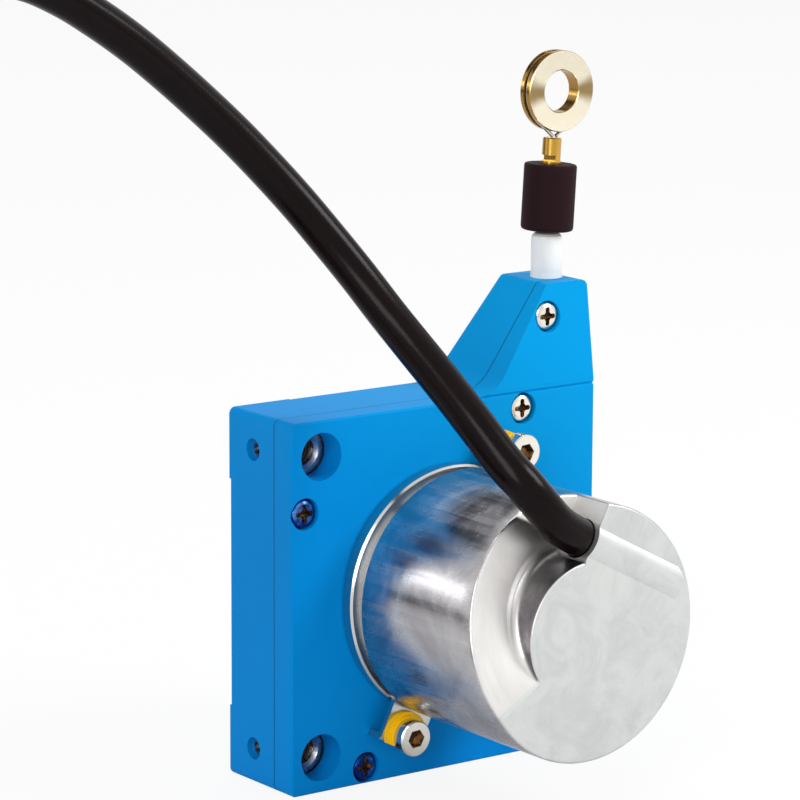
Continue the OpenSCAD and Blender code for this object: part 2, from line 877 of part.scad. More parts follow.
module bearing_outer_rings() {
    color("#a9adb2")
        facing()
            for (start = bearing_starts)
                rotate_extrude()
                    difference() {
                        translate([race_r + race_half, start])
                            square([bearing_r - race_r - race_half, bearing_width]);
                        race_groove(start);
                    }
}

module bearing_inner_rings() {
    color("#a9adb2")
        facing()
            for (start = bearing_starts)
                rotate_extrude()
                    difference() {
                        translate([shaft_r, start]) square([race_r - race_half - shaft_r, bearing_width]);
                        race_groove(start);
                    }
}

module at_balls() {
    for (start = bearing_starts)
        for (k = [0:ball_count - 1])
            rotate([0, 0, 360 / ball_count * k])
                translate([race_r, 0, start + bearing_width / 2]) children();
}

module bearing_balls() {
    color("#d5d8dc") facing() at_balls() sphere(r = ball_r);
}

module bearing_cages() {
    color("#b08a3c")
        facing()
            difference() {
                for (start = bearing_starts)
                    ring(race_r + 0.25, race_r - 0.25, start + 0.5, start + bearing_width - 0.5);
                at_balls() rotate([0, 90, 0]) cylinder(r = ball_r, h = 4 * race_half, center = true);
            }
}

code_d = lap_d + 6;

module disc_hub() {
    color("#8d9196") facing() ring(shaft_r + 2.5, shaft_r, code_d - 2, code_d);
}

module code_disc() {
    color("#d8e0e4")
        facing()
            difference() {
                ring(code_r, shaft_r, code_d, code_d + code_wall);
                for (k = [0:code_windows - 1])
                    rotate([0, 0, 360 / code_windows * k])
                        translate([code_r - 2.2, -0.3, code_d - cut])
                            cube([1.5, 0.6, code_wall + 2 * cut]);
            }
}

reader_angle = 160;
reader_gap = 0.6;
reader_start = hub_r + reader_gap / 2;
reader_length = code_r + reader_gap - reader_start;
reader_width = 4.4;
board_d = lap_d + post_length;

module at_reader(from, to) {
    rotate([0, 0, reader_angle])
        translate([reader_start, -reader_width / 2, from])
            cube([reader_length, reader_width, to - from]);
}

module light_source() {
    color("#2f3338") facing() at_reader(lap_d, code_d - reader_gap);
}

module sensor_head() {
    color("#1f2226") facing() at_reader(code_d + code_wall + reader_gap, board_d);
}

post_angles = [100, 220, 340];

module at_posts() {
    for (a = post_angles)
        rotate([0, 0, a]) translate([post_reach, 0, 0]) children();
}

module circuit_board() {
    color("#1d6b3c")
        facing()
            difference() {
                bar(board_r, board_d, board_d + board_wall);
                at_posts() translate([0, 0, board_d - cut]) cylinder(r = stud_r, h = board_wall + 2 * cut);
            }
}

module board_components() {
    // the parts stand on a grid of a thirtieth of the board's radius
    unit = board_r / 30;
    color("#202327")
        facing()
            translate([0, 0, board_d + board_wall]) {
                translate([-10 * unit, -10 * unit, 0]) cube([12 * unit, 12 * unit, 2 * unit]);
                translate([7 * unit, -11 * unit, 0]) cube([7 * unit, 9 * unit, 2 * unit]);
                translate([-8 * unit, 8 * unit, 0]) cube([6 * unit, 4 * unit, 2 * unit]);
                for (k = [0:3])
                    translate([-20 * unit, (4 * k - 8) * unit, 0]) cube([4 * unit, 2 * unit, unit]);
                translate([6 * unit, -20 * unit, 0]) cylinder(r = 4 * unit, h = 5 * unit);
            }
}

module board_posts() {
    color("#c9b26a")
        facing()
            at_posts()
                difference() {
                    union() {
                        translate([0, 0, lap_d]) cylinder(r = post_r, h = post_length, $fn = 6);
                        translate([0, 0, lap_d - stud_length + stud_gap]) cylinder(r = stud_r, h = stud_length);
                    }
                    translate([0, 0, board_d - post_screw_length - stud_gap])
                        cylinder(r = stud_r, h = post_screw_length + stud_gap + cut);
                }
}

module board_screws() {
    head = post_r * 0.7;
    color("#b9bdc2")
        facing()
            at_posts()
                translate([0, 0, board_d + board_wall])
                    difference() {
                        union() {
                            cylinder(r = post_r, h = head);
                            translate([0, 0, -board_wall - post_screw_length])
                                cylinder(r = stud_r, h = board_wall + post_screw_length + stud_gap);
                        }
                        translate([0, 0, head]) cross_recess(post_r * 0.65, head * 0.7);
                    }
}

connector_size = [6, 4, 3];

module board_connector() {
    color("#e7e3d6")
        facing()
            along_cable()
                translate([drop_reach - connector_size[0] / 2, cable_side - connector_size[1] / 2, board_d + board_wall])
                    cube(connector_size);
}

core_r = 0.4;
core_offsets = [[-0.9, -0.5], [-0.9, 0.5], [0, -1], [0, 1], [0.9, -0.5], [0.9, 0.5]];

// six cores: out of the clamp's end, round a bend, and down into the connector
module conductors() {
    top_d = board_d + board_wall + connector_size[2];
    color("#7d4b9a")
        facing()
            along_cable()
                for (p = core_offsets)
                    translate([drop_reach, cable_side + p[1], cable_d]) {
                        turn_d = -p[0];
                        translate([p[0], 0, turn_d]) sphere(r = core_r);
                        translate([p[0], 0, turn_d])
                            rotate([0, 90, 0]) cylinder(r = core_r, h = clamp_start - drop_reach - p[0]);
                        translate([p[0], 0, top_d - cable_d])
                            cylinder(r = core_r, h = cable_d - top_d + turn_d);
                    }
}

clamp_start = drop_reach + drop_r + 0.3;
clamp_end = step_reach - 2.7;

module cable_clamp() {
    color("#a8acb0") facing() cable_bar(cable_bore_r, clamp_start, clamp_end);
}

// two clamps, half a turn apart
clamp_reach = encoder_r + clamp_screw_gap;
clamp_in = groove_r + 0.5;
clamp_out = clamp_reach + 1.9;
clamp_top_d = lip_d + clamp_sheet;
clamp_head_d = clamp_top_d + washer_base + washer_seat;
head_soft = 0.2;

module at_clamps() {
    for (a = [0, 180])
        rotate([0, 0, clamp_angle + a]) children();
}

module servo_clamps() {
    color("#c4c7ca")
        facing()
            at_clamps()
                difference() {
                    rotate([90, 0, 0])
                        translate([0, 0, -clamp_width / 2])
                            linear_extrude(clamp_width)
                                polygon([
                                    [clamp_in, lip_d],
                                    [clamp_out - clamp_sheet, lip_d],
                                    [clamp_out - clamp_sheet, front_d],
                                    [clamp_out, front_d],
                                    [clamp_out, clamp_top_d - 0.4],
                                    [clamp_out - 0.4, clamp_top_d],
                                    [clamp_in, clamp_top_d]
                                ]);
                    translate([clamp_reach, 0, front_d]) cylinder(r = clamp_screw_r + screw_gap, h = lip_width + 2 * cut);
                }
}

module clamp_washers() {
    base_d = clamp_top_d + washer_base;
    seat_r = clamp_head_r + 0.35;
    color("#dfae0a")
        facing()
            at_clamps()
                translate([clamp_reach, 0, 0])
                    difference() {
                        union() {
                            bar(washer_r, clamp_top_d, base_d);
                            bar(seat_r, clamp_top_d, clamp_head_d);
                        }
                        bar(clamp_screw_r + screw_gap, clamp_top_d - cut, clamp_head_d + cut);
                        translate([washer_r * 0.6, -2 * washer_r, clamp_top_d - cut])
                            cube([4 * washer_r, 4 * washer_r, 4 * washer_base]);
                    }
}

module clamp_screws() {
    head_end = clamp_head_d + clamp_head_height;
    tip_d = recess_d + 0.2;
    key_depth = 1.4;
    color("#cfd1d3")
        facing()
            at_clamps()
                translate([clamp_reach, 0, 0])
                    difference() {
                        union() {
                            bar(clamp_screw_r, tip_d, clamp_head_d);
                            rotate_extrude()
                                polygon([
                                    [0, clamp_head_d],
                                    [clamp_head_r, clamp_head_d],
                                    [clamp_head_r, head_end - head_soft],
                                    [clamp_head_r - head_soft, head_end],
                                    [0, head_end]
                                ]);
                        }
                        translate([0, 0, head_end - key_depth])
                            cylinder(r = clamp_key / sqrt(3), h = key_depth + cut, $fn = 6);
                    }
}

// everything on the wire's line, above the neck
module on_wire(z) {
    translate([wire_x, -wire_depth, z]) children();
}

guide_top = neck_top + guide_height;

module wire_guide() {
    color("#e6e6e4")
        on_wire(0)
            rotate_extrude()
                polygon([
                    [guide_bore_r, neck_top - stem_length],
                    [stem_r, neck_top - stem_length],
                    [stem_r, neck_top],
                    [guide_r + 0.12, neck_top],
                    [guide_r, neck_top + 0.8],
                    [guide_r, guide_top - guide_round],
                    [guide_r - guide_round * 0.13, guide_top - guide_round * 0.5],
                    [guide_r - guide_round * 0.5, guide_top - guide_round * 0.13],
                    [guide_r - guide_round, guide_top],
                    [guide_bore_r + 0.4, guide_top],
                    [guide_bore_r, guide_top - 0.8]
                ]);
}

module measuring_wire() {
    color("#c8ccd0") on_wire(wire_start) cylinder(r = wire_r, h = guide_top + 0.1 - wire_start);
}

// the wire's end leans a little about the guide's mouth
module leaning() {
    on_wire(guide_top + stopper_gap) rotate([0, end_lean, 0]) children();
}

module rubber_stopper() {
    color("#2f2629")
        leaning()
            rotate_extrude()
                polygon([
                    [wire_r + 0.1, 0],
                    [stopper_r - 0.5, 0],
                    [stopper_r - 0.15, 0.15],
                    [stopper_r, 0.5],
                    [stopper_r, stopper_length - 0.35],
                    [stopper_r - 0.1, stopper_length - 0.1],
                    [stopper_r - 0.35, stopper_length],
                    [wire_r + 0.1, stopper_length]
                ]);
}

module crimp_ferrule() {
    foot_r = ferrule_r + 0.15;
    foot_height = 0.4;
    color("#b98f2e")
        leaning()
            translate([0, 0, stopper_length])
                difference() {
                    rotate_extrude()
                        polygon([
                            [0, 0],
                            [foot_r, 0],
                            [foot_r, foot_height],
                            [ferrule_r, foot_height + 0.1],
                            [ferrule_r, ferrule_length - 0.15],
                            [ferrule_r - 0.15, ferrule_length],
                            [0, ferrule_length]
                        ]);
                    translate([0, 0, -cut]) cylinder(r = wire_r, h = 2 * cut);
                    translate([-2 * foot_r, -2 * foot_r, foot_height])
                        cube([2 * foot_r - wire_r, 4 * foot_r, ferrule_notch]);
                }
}

ring_z = stopper_length + ferrule_length + ring_reach;
loop_r = ring_r - ring_groove + wire_r;
loop_angle = acos(loop_r / ring_reach);
// where each leg stops, so that its round end just clears the ferrule's top
leg_gap = wire_r / tan(loop_angle) + 0.03;

// the loop runs up from the ferrule, around the ring's groove and back down
module wire_loop() {
    leg = sqrt(ring_reach * ring_reach - loop_r * loop_r);
    color("#b9bcc0")
        leaning() {
            cylinder(r = wire_r, h = stopper_length + cut);
            translate([0, -ring_forward, ring_z])
                rotate([90, 0, 0]) {
                    rotate([0, 0, loop_angle - 90])
                        rotate_extrude(angle = 360 - 2 * loop_angle)
                            translate([loop_r, 0]) circle(r = wire_r);
                    for (side = [-1, 1])
                        rotate([0, 0, side * loop_angle - 90])
                            translate([loop_r, 0, 0])
                                rotate([side * 90, 0, 0]) cylinder(r = wire_r, h = leg - leg_gap);
                }
        }
}

module pull_ring() {
    groove_half = wire_r + 0.1;
    rim = ring_width / 2;
    soft = 0.15;
    color("#d8b566")
        leaning()
            translate([0, -ring_forward, ring_z])
                rotate([90, 0, 0])
                    rotate_extrude()
                        polygon([
                            [ring_hole_r, -rim + soft],
                            [ring_hole_r + soft, -rim],
                            [ring_r - soft, -rim],
                            [ring_r, -rim + soft],
                            [ring_r, -groove_half],
                            [ring_r - ring_groove, -groove_half],
                            [ring_r - ring_groove, groove_half],
                            [ring_r, groove_half],
                            [ring_r, rim - soft],
                            [ring_r - soft, rim],
                            [ring_hole_r + soft, rim],
                            [ring_hole_r, rim - soft]
                        ]);
}

// cable: route points, first inside its bore, then out, over the left side and down to the coil
start_at = along(clamp_end, cable_side);
exit_at = along(step_reach, cable_side);
coil_x = -coil_left;
coil_y = -coil_front;
tie_wall = 0.8;
coil_floor = -half + tie_wall;
coil_step = 2 * cable_r;
coil_edge = coil_r + (coil_turns - 1) / 2 * coil_step;
upper_z = coil_floor + cable_r + coil_step;
side_x = coil_x + coil_edge;

route = [
    [start_at[0], -cable_d, start_at[1]],
    [exit_at[0], -cable_d, exit_at[1]],
    [-3.8, -46.8, 15.8],
    [-6.8, -46.6, 19],
    [-9, -45.5, 22],
    [-10.6, -42.8, 25],
    [-12.3, -37.8, 30.2],
    [-13.6, -32.8, 34.8],
    [-15, -28, 39.2],
    [-16.7, -23.8, 43.6],
    [-19, -19.8, 48.8],
    [-22, -16.6, 54],
    [-25.6, -14.2, 59.2],
    [-29.8, -12.6, 64.2],
    [-34.4, -11.6, 69],
    [-39.4, -11, 73.6],
    [-44.6, -10.7, 78],
    [-50, -10.6, 82.2],
    [-55.6, -10.5, 86],
    [-61.4, -10.5, 89.4],
    [-67.6, -10.5, 92],
    [-74.2, -10.5, 93],
    [-80.6, -10.5, 91.8],
    [-86.2, -10.6, 88],
    [-90.4, -10.8, 82.6],
    [-93, -11.1, 76],
    [-94.6, -11.6, 68],
    [-95.4, -12.6, 58],
    [-95.6, -15, 47],
    [-95.6, -18.6, 36],
    [-95.6, -23.2, 25],
    [-95.5, -28, 13.5],
    [-95.4, -31, 2],
    [-95.4, -28.6, -8.4],
    [side_x, coil_y - 11.4, upper_z + 2.6],
    [side_x, coil_y - 2, upper_z],
    [side_x, coil_y, upper_z]
];

tube_sides = 10;
tube_split = 2;

// a smooth curve through the route points
function curve(i, t) =
    let (
        n = len(route),
        a = route[max(i - 1, 0)],
        b = route[i],
        c = route[min(i + 1, n - 1)],
        d = route[min(i + 2, n - 1)]
    )
    0.5 * (2 * b + (c - a) * t + (2 * a - 5 * b + 4 * c - d) * t * t
        + (3 * b - a - 3 * c + d) * t * t * t);
function unit(v) = v / norm(v);
line = concat(
    [for (i = [0:len(route) - 2]) for (j = [0:tube_split - 1]) curve(i, j / tube_split)],
    [route[len(route) - 1]]
);
function heading(k) =
    k == 0
        ? unit([cos(exit_angle), 0, sin(exit_angle)])
        : unit(line[min(k + 1, len(line) - 1)] - line[k - 1]);
function tube_ring(k) =
    let (
        h = heading(k),
        up = unit(cross(h, [0.3, 0.95, 0])),
        out = cross(up, h)
    )
    [for (j = [0:tube_sides - 1])
        line[k] + cable_r * (cos(360 * j / tube_sides) * out + sin(360 * j / tube_sides) * up)];

module cable() {
    n = len(line);
    points = [for (k = [0:n - 1]) for (p = tube_ring(k)) p];
    sides = [for (k = [0:n - 2]) for (j = [0:tube_sides - 1]) for (h = [0:1])
        let (
            a = tube_sides * k + j,
            b = tube_sides * k + (j + 1) % tube_sides
        )
        h == 0 ? [a, b, b + tube_sides] : [a, b + tube_sides, a + tube_sides]];
    first = [for (j = [1:tube_sides - 2]) [0, j + 1, j]];
    end_at = tube_sides * (n - 1);
    last = [for (j = [1:tube_sides - 2]) [end_at, end_at + j, end_at + j + 1]];
    color("#1c1716") polyhedron(points = points, faces = concat(sides, first, last), convexity = 10);
}

// the spare length, as a flat coil of two layers on the surface
coil_inner = coil_r - (coil_turns - 1) / 2 * coil_step;
lead_angle = 175;

module cable_coil() {
    color("#1c1716")
        translate([coil_x, coil_y, coil_floor])
            difference() {
                rotate_extrude() {
                    for (k = [0:coil_turns - 1])
                        for (layer = [0, 1])
                            translate([coil_inner + k * coil_step, cable_r + layer * coil_step]) circle(r = cable_r);
                    translate([coil_inner, cable_r]) square([coil_edge - coil_inner, coil_step]);
                }
                rotate([0, 0, -35])
                    rotate_extrude(angle = 35)
                        translate([coil_edge - cable_r, coil_step]) square(coil_step + cut);
                rotate([0, 0, lead_angle])
                    rotate_extrude(angle = 20)
                        translate([coil_inner - cable_r - cut, -cut]) square(coil_step + cut);
            }
}

module coil_ties() {
    mid = coil_step;
    color("#17181a")
        translate([coil_x, coil_y, coil_floor])
            for (a = [75, 195])
                rotate([0, 0, a])
                    translate([coil_r, 0, mid])
                        rotate([90, 0, 0])
                            translate([0, 0, -1.5])
                                linear_extrude(3)
                                    difference() {
                                        square([coil_turns * coil_step + 2 * tie_wall, 2 * coil_step + 2 * tie_wall], center = true);
                                        square([coil_turns * coil_step, 2 * coil_step], center = true);
                                    }
}

// the cores' bare ends, at the cable's inner end
module lead_ends() {
    color("#b9bcc0")
        translate([coil_x, coil_y, coil_floor + cable_r])
            rotate([0, 0, lead_angle])
                translate([coil_inner, 0, 0])
                    rotate([-90, 0, 0])
                        for (k = [0:5])
                            rotate([0, 0, 60 * k])
                                translate([1.3, 0, 0]) cylinder(r = core_r, h = 6);
}

rear_housing();
front_cover();
mounting_sleeves();
cover_screws();
wire_guide();
rear_bush();
spring_cover();
spiral_spring();
wire_drum();
wound_wire();
drum_grub_screw();
encoder_flange();
encoder_can();
can_seal();
encoder_shaft();
bearing_outer_rings();
bearing_inner_rings();
bearing_balls();
bearing_cages();
disc_hub();
code_disc();
light_source();
sensor_head();
circuit_board();
board_components();
board_posts();
board_screws();
board_connector();
conductors();
cable_clamp();
servo_clamps();
clamp_washers();
clamp_screws();
measuring_wire();
wire_loop();
crimp_ferrule();
pull_ring();
rubber_stopper();
cable();
cable_coil();
coil_ties();
lead_ends();
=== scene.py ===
"""Draw wire encoder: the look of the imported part, its cable and a small studio."""
import json
import math

import bpy
import numpy as np
from mathutils import Matrix, Vector


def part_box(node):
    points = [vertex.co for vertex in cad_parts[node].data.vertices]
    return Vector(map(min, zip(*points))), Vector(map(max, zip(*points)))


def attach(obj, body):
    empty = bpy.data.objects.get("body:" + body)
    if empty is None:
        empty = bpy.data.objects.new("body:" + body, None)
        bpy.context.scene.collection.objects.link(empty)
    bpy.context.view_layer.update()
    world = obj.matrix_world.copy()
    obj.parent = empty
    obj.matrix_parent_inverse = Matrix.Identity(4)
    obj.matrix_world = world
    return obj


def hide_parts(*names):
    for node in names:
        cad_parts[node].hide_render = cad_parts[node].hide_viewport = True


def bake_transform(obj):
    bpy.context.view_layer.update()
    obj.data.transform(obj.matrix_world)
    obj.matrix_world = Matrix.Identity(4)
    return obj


bl_info = {
    "name": "Draw wire encoder",
    "version": (1, 0, 0),
    "blender": (4, 5, 0),
    "location": "3D view > Sidebar > Encoder",
    "description": "Builds the finishes, the cable and the studio of a draw wire encoder",
    "category": "Add Mesh",
}

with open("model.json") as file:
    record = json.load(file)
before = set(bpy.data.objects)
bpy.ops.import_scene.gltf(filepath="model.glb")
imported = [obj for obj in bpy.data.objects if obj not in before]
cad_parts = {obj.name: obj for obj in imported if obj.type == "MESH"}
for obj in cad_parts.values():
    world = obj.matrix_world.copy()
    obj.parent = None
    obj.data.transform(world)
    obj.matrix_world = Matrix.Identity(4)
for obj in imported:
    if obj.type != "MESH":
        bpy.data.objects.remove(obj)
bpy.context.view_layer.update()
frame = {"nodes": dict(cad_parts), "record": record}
MM = 0.001


# ---------------------------------------------------------------- shader maths


class Value:
    """A number that varies over a surface: a socket in a node tree, with arithmetic."""

    def __init__(self, graph, socket):
        self.graph = graph
        self.socket = socket

    def _math(self, operation, *values):
        return self.graph.node("ShaderNodeMath", {"operation": operation}, *values)

    def __add__(self, other):
        return self._math("ADD", self, other)

    def __radd__(self, other):
        return self._math("ADD", other, self)

    def __sub__(self, other):
        return self._math("SUBTRACT", self, other)

    def __rsub__(self, other):
        return self._math("SUBTRACT", other, self)

    def __mul__(self, other):
        return self._math("MULTIPLY", self, other)

    def __rmul__(self, other):
        return self._math("MULTIPLY", other, self)

    def __truediv__(self, other):
        return self._math("DIVIDE", self, other)

    def __rtruediv__(self, other):
        return self._math("DIVIDE", other, self)

    def __pow__(self, other):
        return self._math("POWER", self, other)

    def __neg__(self):
        return self._math("MULTIPLY", self, -1.0)

    def __gt__(self, other):
        return self._math("GREATER_THAN", self, other)

    def __lt__(self, other):
        return self._math("LESS_THAN", self, other)

    def least(self, other):
        return self._math("MINIMUM", self, other)

    def most(self, other):
        return self._math("MAXIMUM", self, other)

    def sine(self):
        return self._math("SINE", self)

    def root(self):
        return self._math("SQRT", self)

    def size(self):
        return self._math("ABSOLUTE", self)

    def ramp(self, low, high, to_low=0.0, to_high=1.0):
        """Smoothly from to_low at low to to_high at high."""
        settings = {"interpolation_type": "SMOOTHSTEP"}
        return self.graph.node("ShaderNodeMapRange", settings, self, low, high, to_low, to_high)


class Graph:
    """One material's node tree. Every node comes from node()."""

    def __init__(self, name):
        self.material = bpy.data.materials.new(name)
        self.material.use_nodes = True
        self.tree = self.material.node_tree
        self.tree.nodes.clear()
        self.places = self.node("ShaderNodeTexCoord", out="Object")

    def node(self, kind, settings=None, *values, out=0, **named):
        """A node of that kind: its settings first, then its sockets by place or by name."""
        made = self.tree.nodes.new(kind)
        for key, value in (settings or {}).items():
            setattr(made, key, value)
        for key, value in list(enumerate(values)) + [(k.replace("_", " "), v) for k, v in named.items()]:
            socket = made.inputs[key]
            if isinstance(value, Value):
                self.tree.links.new(value.socket, socket)
            elif hasattr(socket, "default_value"):
                socket.default_value = value
        return Value(self, made.outputs[out]) if len(made.outputs) else None

    def axes(self, vector=None):
        """The three parts of a vector, by default of the place on the object, in metres."""
        made = self.node("ShaderNodeSeparateXYZ", None, vector or self.places)
        node = made.socket.node
        return [Value(self, node.outputs[i]) for i in range(3)]

    def scaled(self, x, y, z):
        """The place on the object, stretched along each axis."""
        return self.node("ShaderNodeVectorMath", {"operation": "MULTIPLY"}, self.places, (x, y, z))

    def moved(self, x, y, z):
        """The place on the object, counted from another point."""
        return self.node("ShaderNodeVectorMath", {"operation": "SUBTRACT"}, self.places, (x, y, z))

    def noise(self, scale, detail=3.0, roughness=0.55, where=None, distortion=0.0):
        """Soft noise from 0 to 1. scale is in waves per metre."""
        return self.node(
            "ShaderNodeTexNoise", None, out=0, Vector=where or self.places, Scale=scale,
            Detail=detail, Roughness=roughness, Distortion=distortion)

    def mix(self, share, low, high):
        """A colour between two colours. Each is a value or an RGBA tuple."""
        made = self.tree.nodes.new("ShaderNodeMix")
        made.data_type = "RGBA"
        for key, value in ((0, share), (6, low), (7, high)):
            if isinstance(value, Value):
                self.tree.links.new(value.socket, made.inputs[key])
            else:
                made.inputs[key].default_value = value
        return Value(self, made.outputs[2])

    def bump(self, height, distance, strength=1.0, normal=None):
        """A normal that follows a height. distance is in metres."""
        extra = {"Normal": normal} if normal else {}
        return self.node(
            "ShaderNodeBump", None, out=0, Height=height, Distance=distance, Strength=strength, **extra)

    def surface(self, **sockets):
        """Ends the material in one principled surface."""
        made = self.node("ShaderNodeBsdfPrincipled", None, **sockets)
        self.node("ShaderNodeOutputMaterial", None, made)
        return self.material


def rgb(text, alpha=1.0):
    """A linear colour from its hex name."""
    parts = [int(text[i:i + 2], 16) / 255 for i in (1, 3, 5)]
    return tuple(p / 12.92 if p <= 0.04045 else ((p + 0.055) / 1.055) ** 2.4 for p in parts) + (alpha,)


# ------------------------------------------------------------------- materials


def plastic(name, colour, roughness, grain, patch=0.04, shine=0.3):
    """A moulded plastic: a fine spark grain, a soft change of gloss and a faint change of shade."""
    g = Graph(name)
    fine = g.noise(5200, 2.0)
    slow = g.noise(70, 3.0)
    dark = tuple(c * (1 - patch) for c in colour[:3]) + (1.0,)
    return g.surface(
        Base_Color=g.mix(slow, dark, colour),
        Roughness=roughness + (slow - 0.5) * 0.12 + (fine - 0.5) * 0.08,
        Normal=g.bump(fine, grain),
        Specular_IOR_Level=shine)


def metal(name, colour, roughness, cloud=0.12, scale=160, grain=0.0):
    """A plain metal with clouded gloss."""
    g = Graph(name)
    slow = g.noise(scale, 4.0, 0.6)
    fine = g.noise(3000, 2.0)
    dark = tuple(c * 0.86 for c in colour[:3]) + (1.0,)
    sockets = dict(
        Base_Color=g.mix(slow, dark, colour),
        Metallic=1.0,
        Roughness=roughness + (slow - 0.5) * cloud)
    if grain:
        sockets["Normal"] = g.bump(fine, grain)
    return g.surface(**sockets)


def housing_blue(colour):
    """The housing's glass-filled plastic: spark grain, faint flow patches, a dark parting line where the
    cover meets the rear half, and painted light that makes the blue lighter towards the upper right."""
    g = Graph("blue_plastic")
    x, y, z = g.axes()
    fine = g.noise(6500, 2.0)
    flow = g.noise(26, 4.0, 0.6, g.scaled(1.0, 1.0, 0.45))
    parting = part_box("rear_housing")[0][1]
    line = 1 - (y - parting).size().ramp(0.03 * MM, 0.17 * MM)
    shade = tuple(c * 0.93 for c in colour[:3]) + (1.0,)
    light = (colour[0], min(1, colour[1] * 1.25), min(1, colour[2] * 1.04), 1.0)
    # painted light: the blue turns lighter towards the upper right, as if lit from there
    painted_light_gradient = (x * 0.7 + z + flow * 0.02).ramp(0.0, 60 * MM)
    deep = tuple(c * 0.35 for c in colour[:3]) + (1.0,)
    return g.surface(
        Base_Color=g.mix(line * 0.8, g.mix(painted_light_gradient, g.mix(flow.ramp(0.3, 0.7), shade, colour), light), deep),
        Roughness=0.46 + (flow - 0.5) * 0.14 + (fine - 0.5) * 0.1,
        Normal=g.bump(fine * 0.06 - line, 0.00008),
        Specular_IOR_Level=0.04)


def cast_can():
    """Die-cast zinc in three finishes, told apart by place: a polished and clouded side with faint streaks
    along the axis, a satin face with pale stains, and a matt ramp with fine lines along its sweep. On the
    ramp a painted shadow lies beside the boss under the cable, and the boss's wall carries a painted dark
    reflection."""
    low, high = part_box("encoder_can")
    radius, face = (high[0] - low[0]) / 2, -low[1] - (RIDGE_R - CABLE_DROP) * MM
    g = Graph("can_zinc")
    x, y, z = g.axes()
    r = (x * x + z * z).root()
    on_side = r.ramp(radius - 0.25 * MM, radius - 0.1 * MM)
    on_face = (-y).ramp(face - 0.3 * MM, face - 0.1 * MM)
    cloud = g.noise(95, 5.0, 0.62, distortion=0.6)
    streak = g.noise(900, 3.0, 0.6, g.scaled(1.0, 0.035, 1.0))
    stain = g.noise(150, 5.0, 0.7, distortion=1.2)
    grain = g.noise(2600, 3.0, 0.6)
    sweep = g.noise(1.0, 2.0, 0.5, g.node("ShaderNodeCombineXYZ", None, r * 2600, y * 300, 0.0))
    pit = g.noise(700, 2.0, 0.5).ramp(0.72, 0.8)
    side_tone = g.mix(cloud.ramp(0.3, 0.7), rgb("#a5a2a6"), rgb("#cfcdcd"))
    face_tone = g.mix(stain.ramp(0.35, 0.7), rgb("#cfd1cf"), rgb("#c2c5c4"))
    ramp_tone = g.mix(cloud.ramp(0.3, 0.7), rgb("#d7d5d2"), rgb("#e2e0de"))
    boss = radius - RAMP_WIDTH * MM
    # painted dark reflection on the boss's wall, and on the bore where it lies inside the boss's radius
    wall = (1 - r.ramp(boss + 0.05 * MM, boss + 0.5 * MM)) * (1 - on_face)
    # painted shadow of the cable: the ramp darkens beside the boss, towards the top
    shaded = (1 - r.ramp(boss, boss + 2.2 * MM)) * z.ramp(-2 * MM, 8 * MM)
    ramp_tone = g.mix(shaded * 0.6, ramp_tone, rgb("#8f8d8d"))
    ramp_tone = g.mix(wall, ramp_tone, g.mix(cloud.ramp(0.35, 0.65), rgb("#57535a"), rgb("#8b8888")))
    tone = g.mix(on_face, ramp_tone, face_tone)
    side_gloss = 0.26 + (cloud - 0.5) * 0.3 + (streak - 0.5) * 0.3 + pit * 0.1
    flat_gloss = on_face * (0.43 + (stain - 0.5) * 0.16) + (1 - on_face) * (0.38 + (sweep - 0.5) * 0.2)
    return g.surface(
        Base_Color=g.mix(on_side, tone, side_tone),
        Metallic=1.0,
        Roughness=(on_side * side_gloss + (1 - on_side) * flat_gloss).most(0.1),
        Normal=g.bump(
            grain * (1 - on_side * 0.8) + pit * 0.4 + sweep * (1 - on_face) * 0.6 + streak * on_side * 0.25,
            0.000012))


def turned_ring():
    """The ring's turned brass: fine lathe lines about its axis, in its gloss and bumps, and a painted
    reflection in its colour, bright all round but for a dark wedge to either side, with painted shade on
    its rim and in its bore."""
    g = Graph("ring_brass")
    low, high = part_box("pull_ring")
    x, y, z = g.axes(g.moved(*((low + high) / 2)))
    r = (x * x + z * z).root()
    lines = g.noise(1.0, 2.0, 0.5, g.node("ShaderNodeCombineXYZ", None, r * 9000, y * 900, 0.0))
    cloud = g.noise(400, 3.0, 0.6)
    # painted reflection: dark wedges to either side of the axis, bright brass elsewhere
    painted_sheen = (z.size() / r + (cloud - 0.5) * 0.16).ramp(0.08, 0.5)
    # painted shade: the rim and the bore are darker brown than the two faces
    front = 1 - (y.size() * -1 + (high[1] - low[1]) / 2).ramp(0.02 * MM, 0.12 * MM)
    bright = g.mix(cloud, rgb("#fdf0d0"), rgb("#fff8e6"))
    turned = g.mix(painted_sheen, rgb("#a38c60"), bright)
    return g.surface(
        Base_Color=g.mix(front, rgb("#a07c40"), turned),
        Metallic=1.0,
        Roughness=0.22 + (lines - 0.5) * 0.14,
        Normal=g.bump(lines, 0.000003))


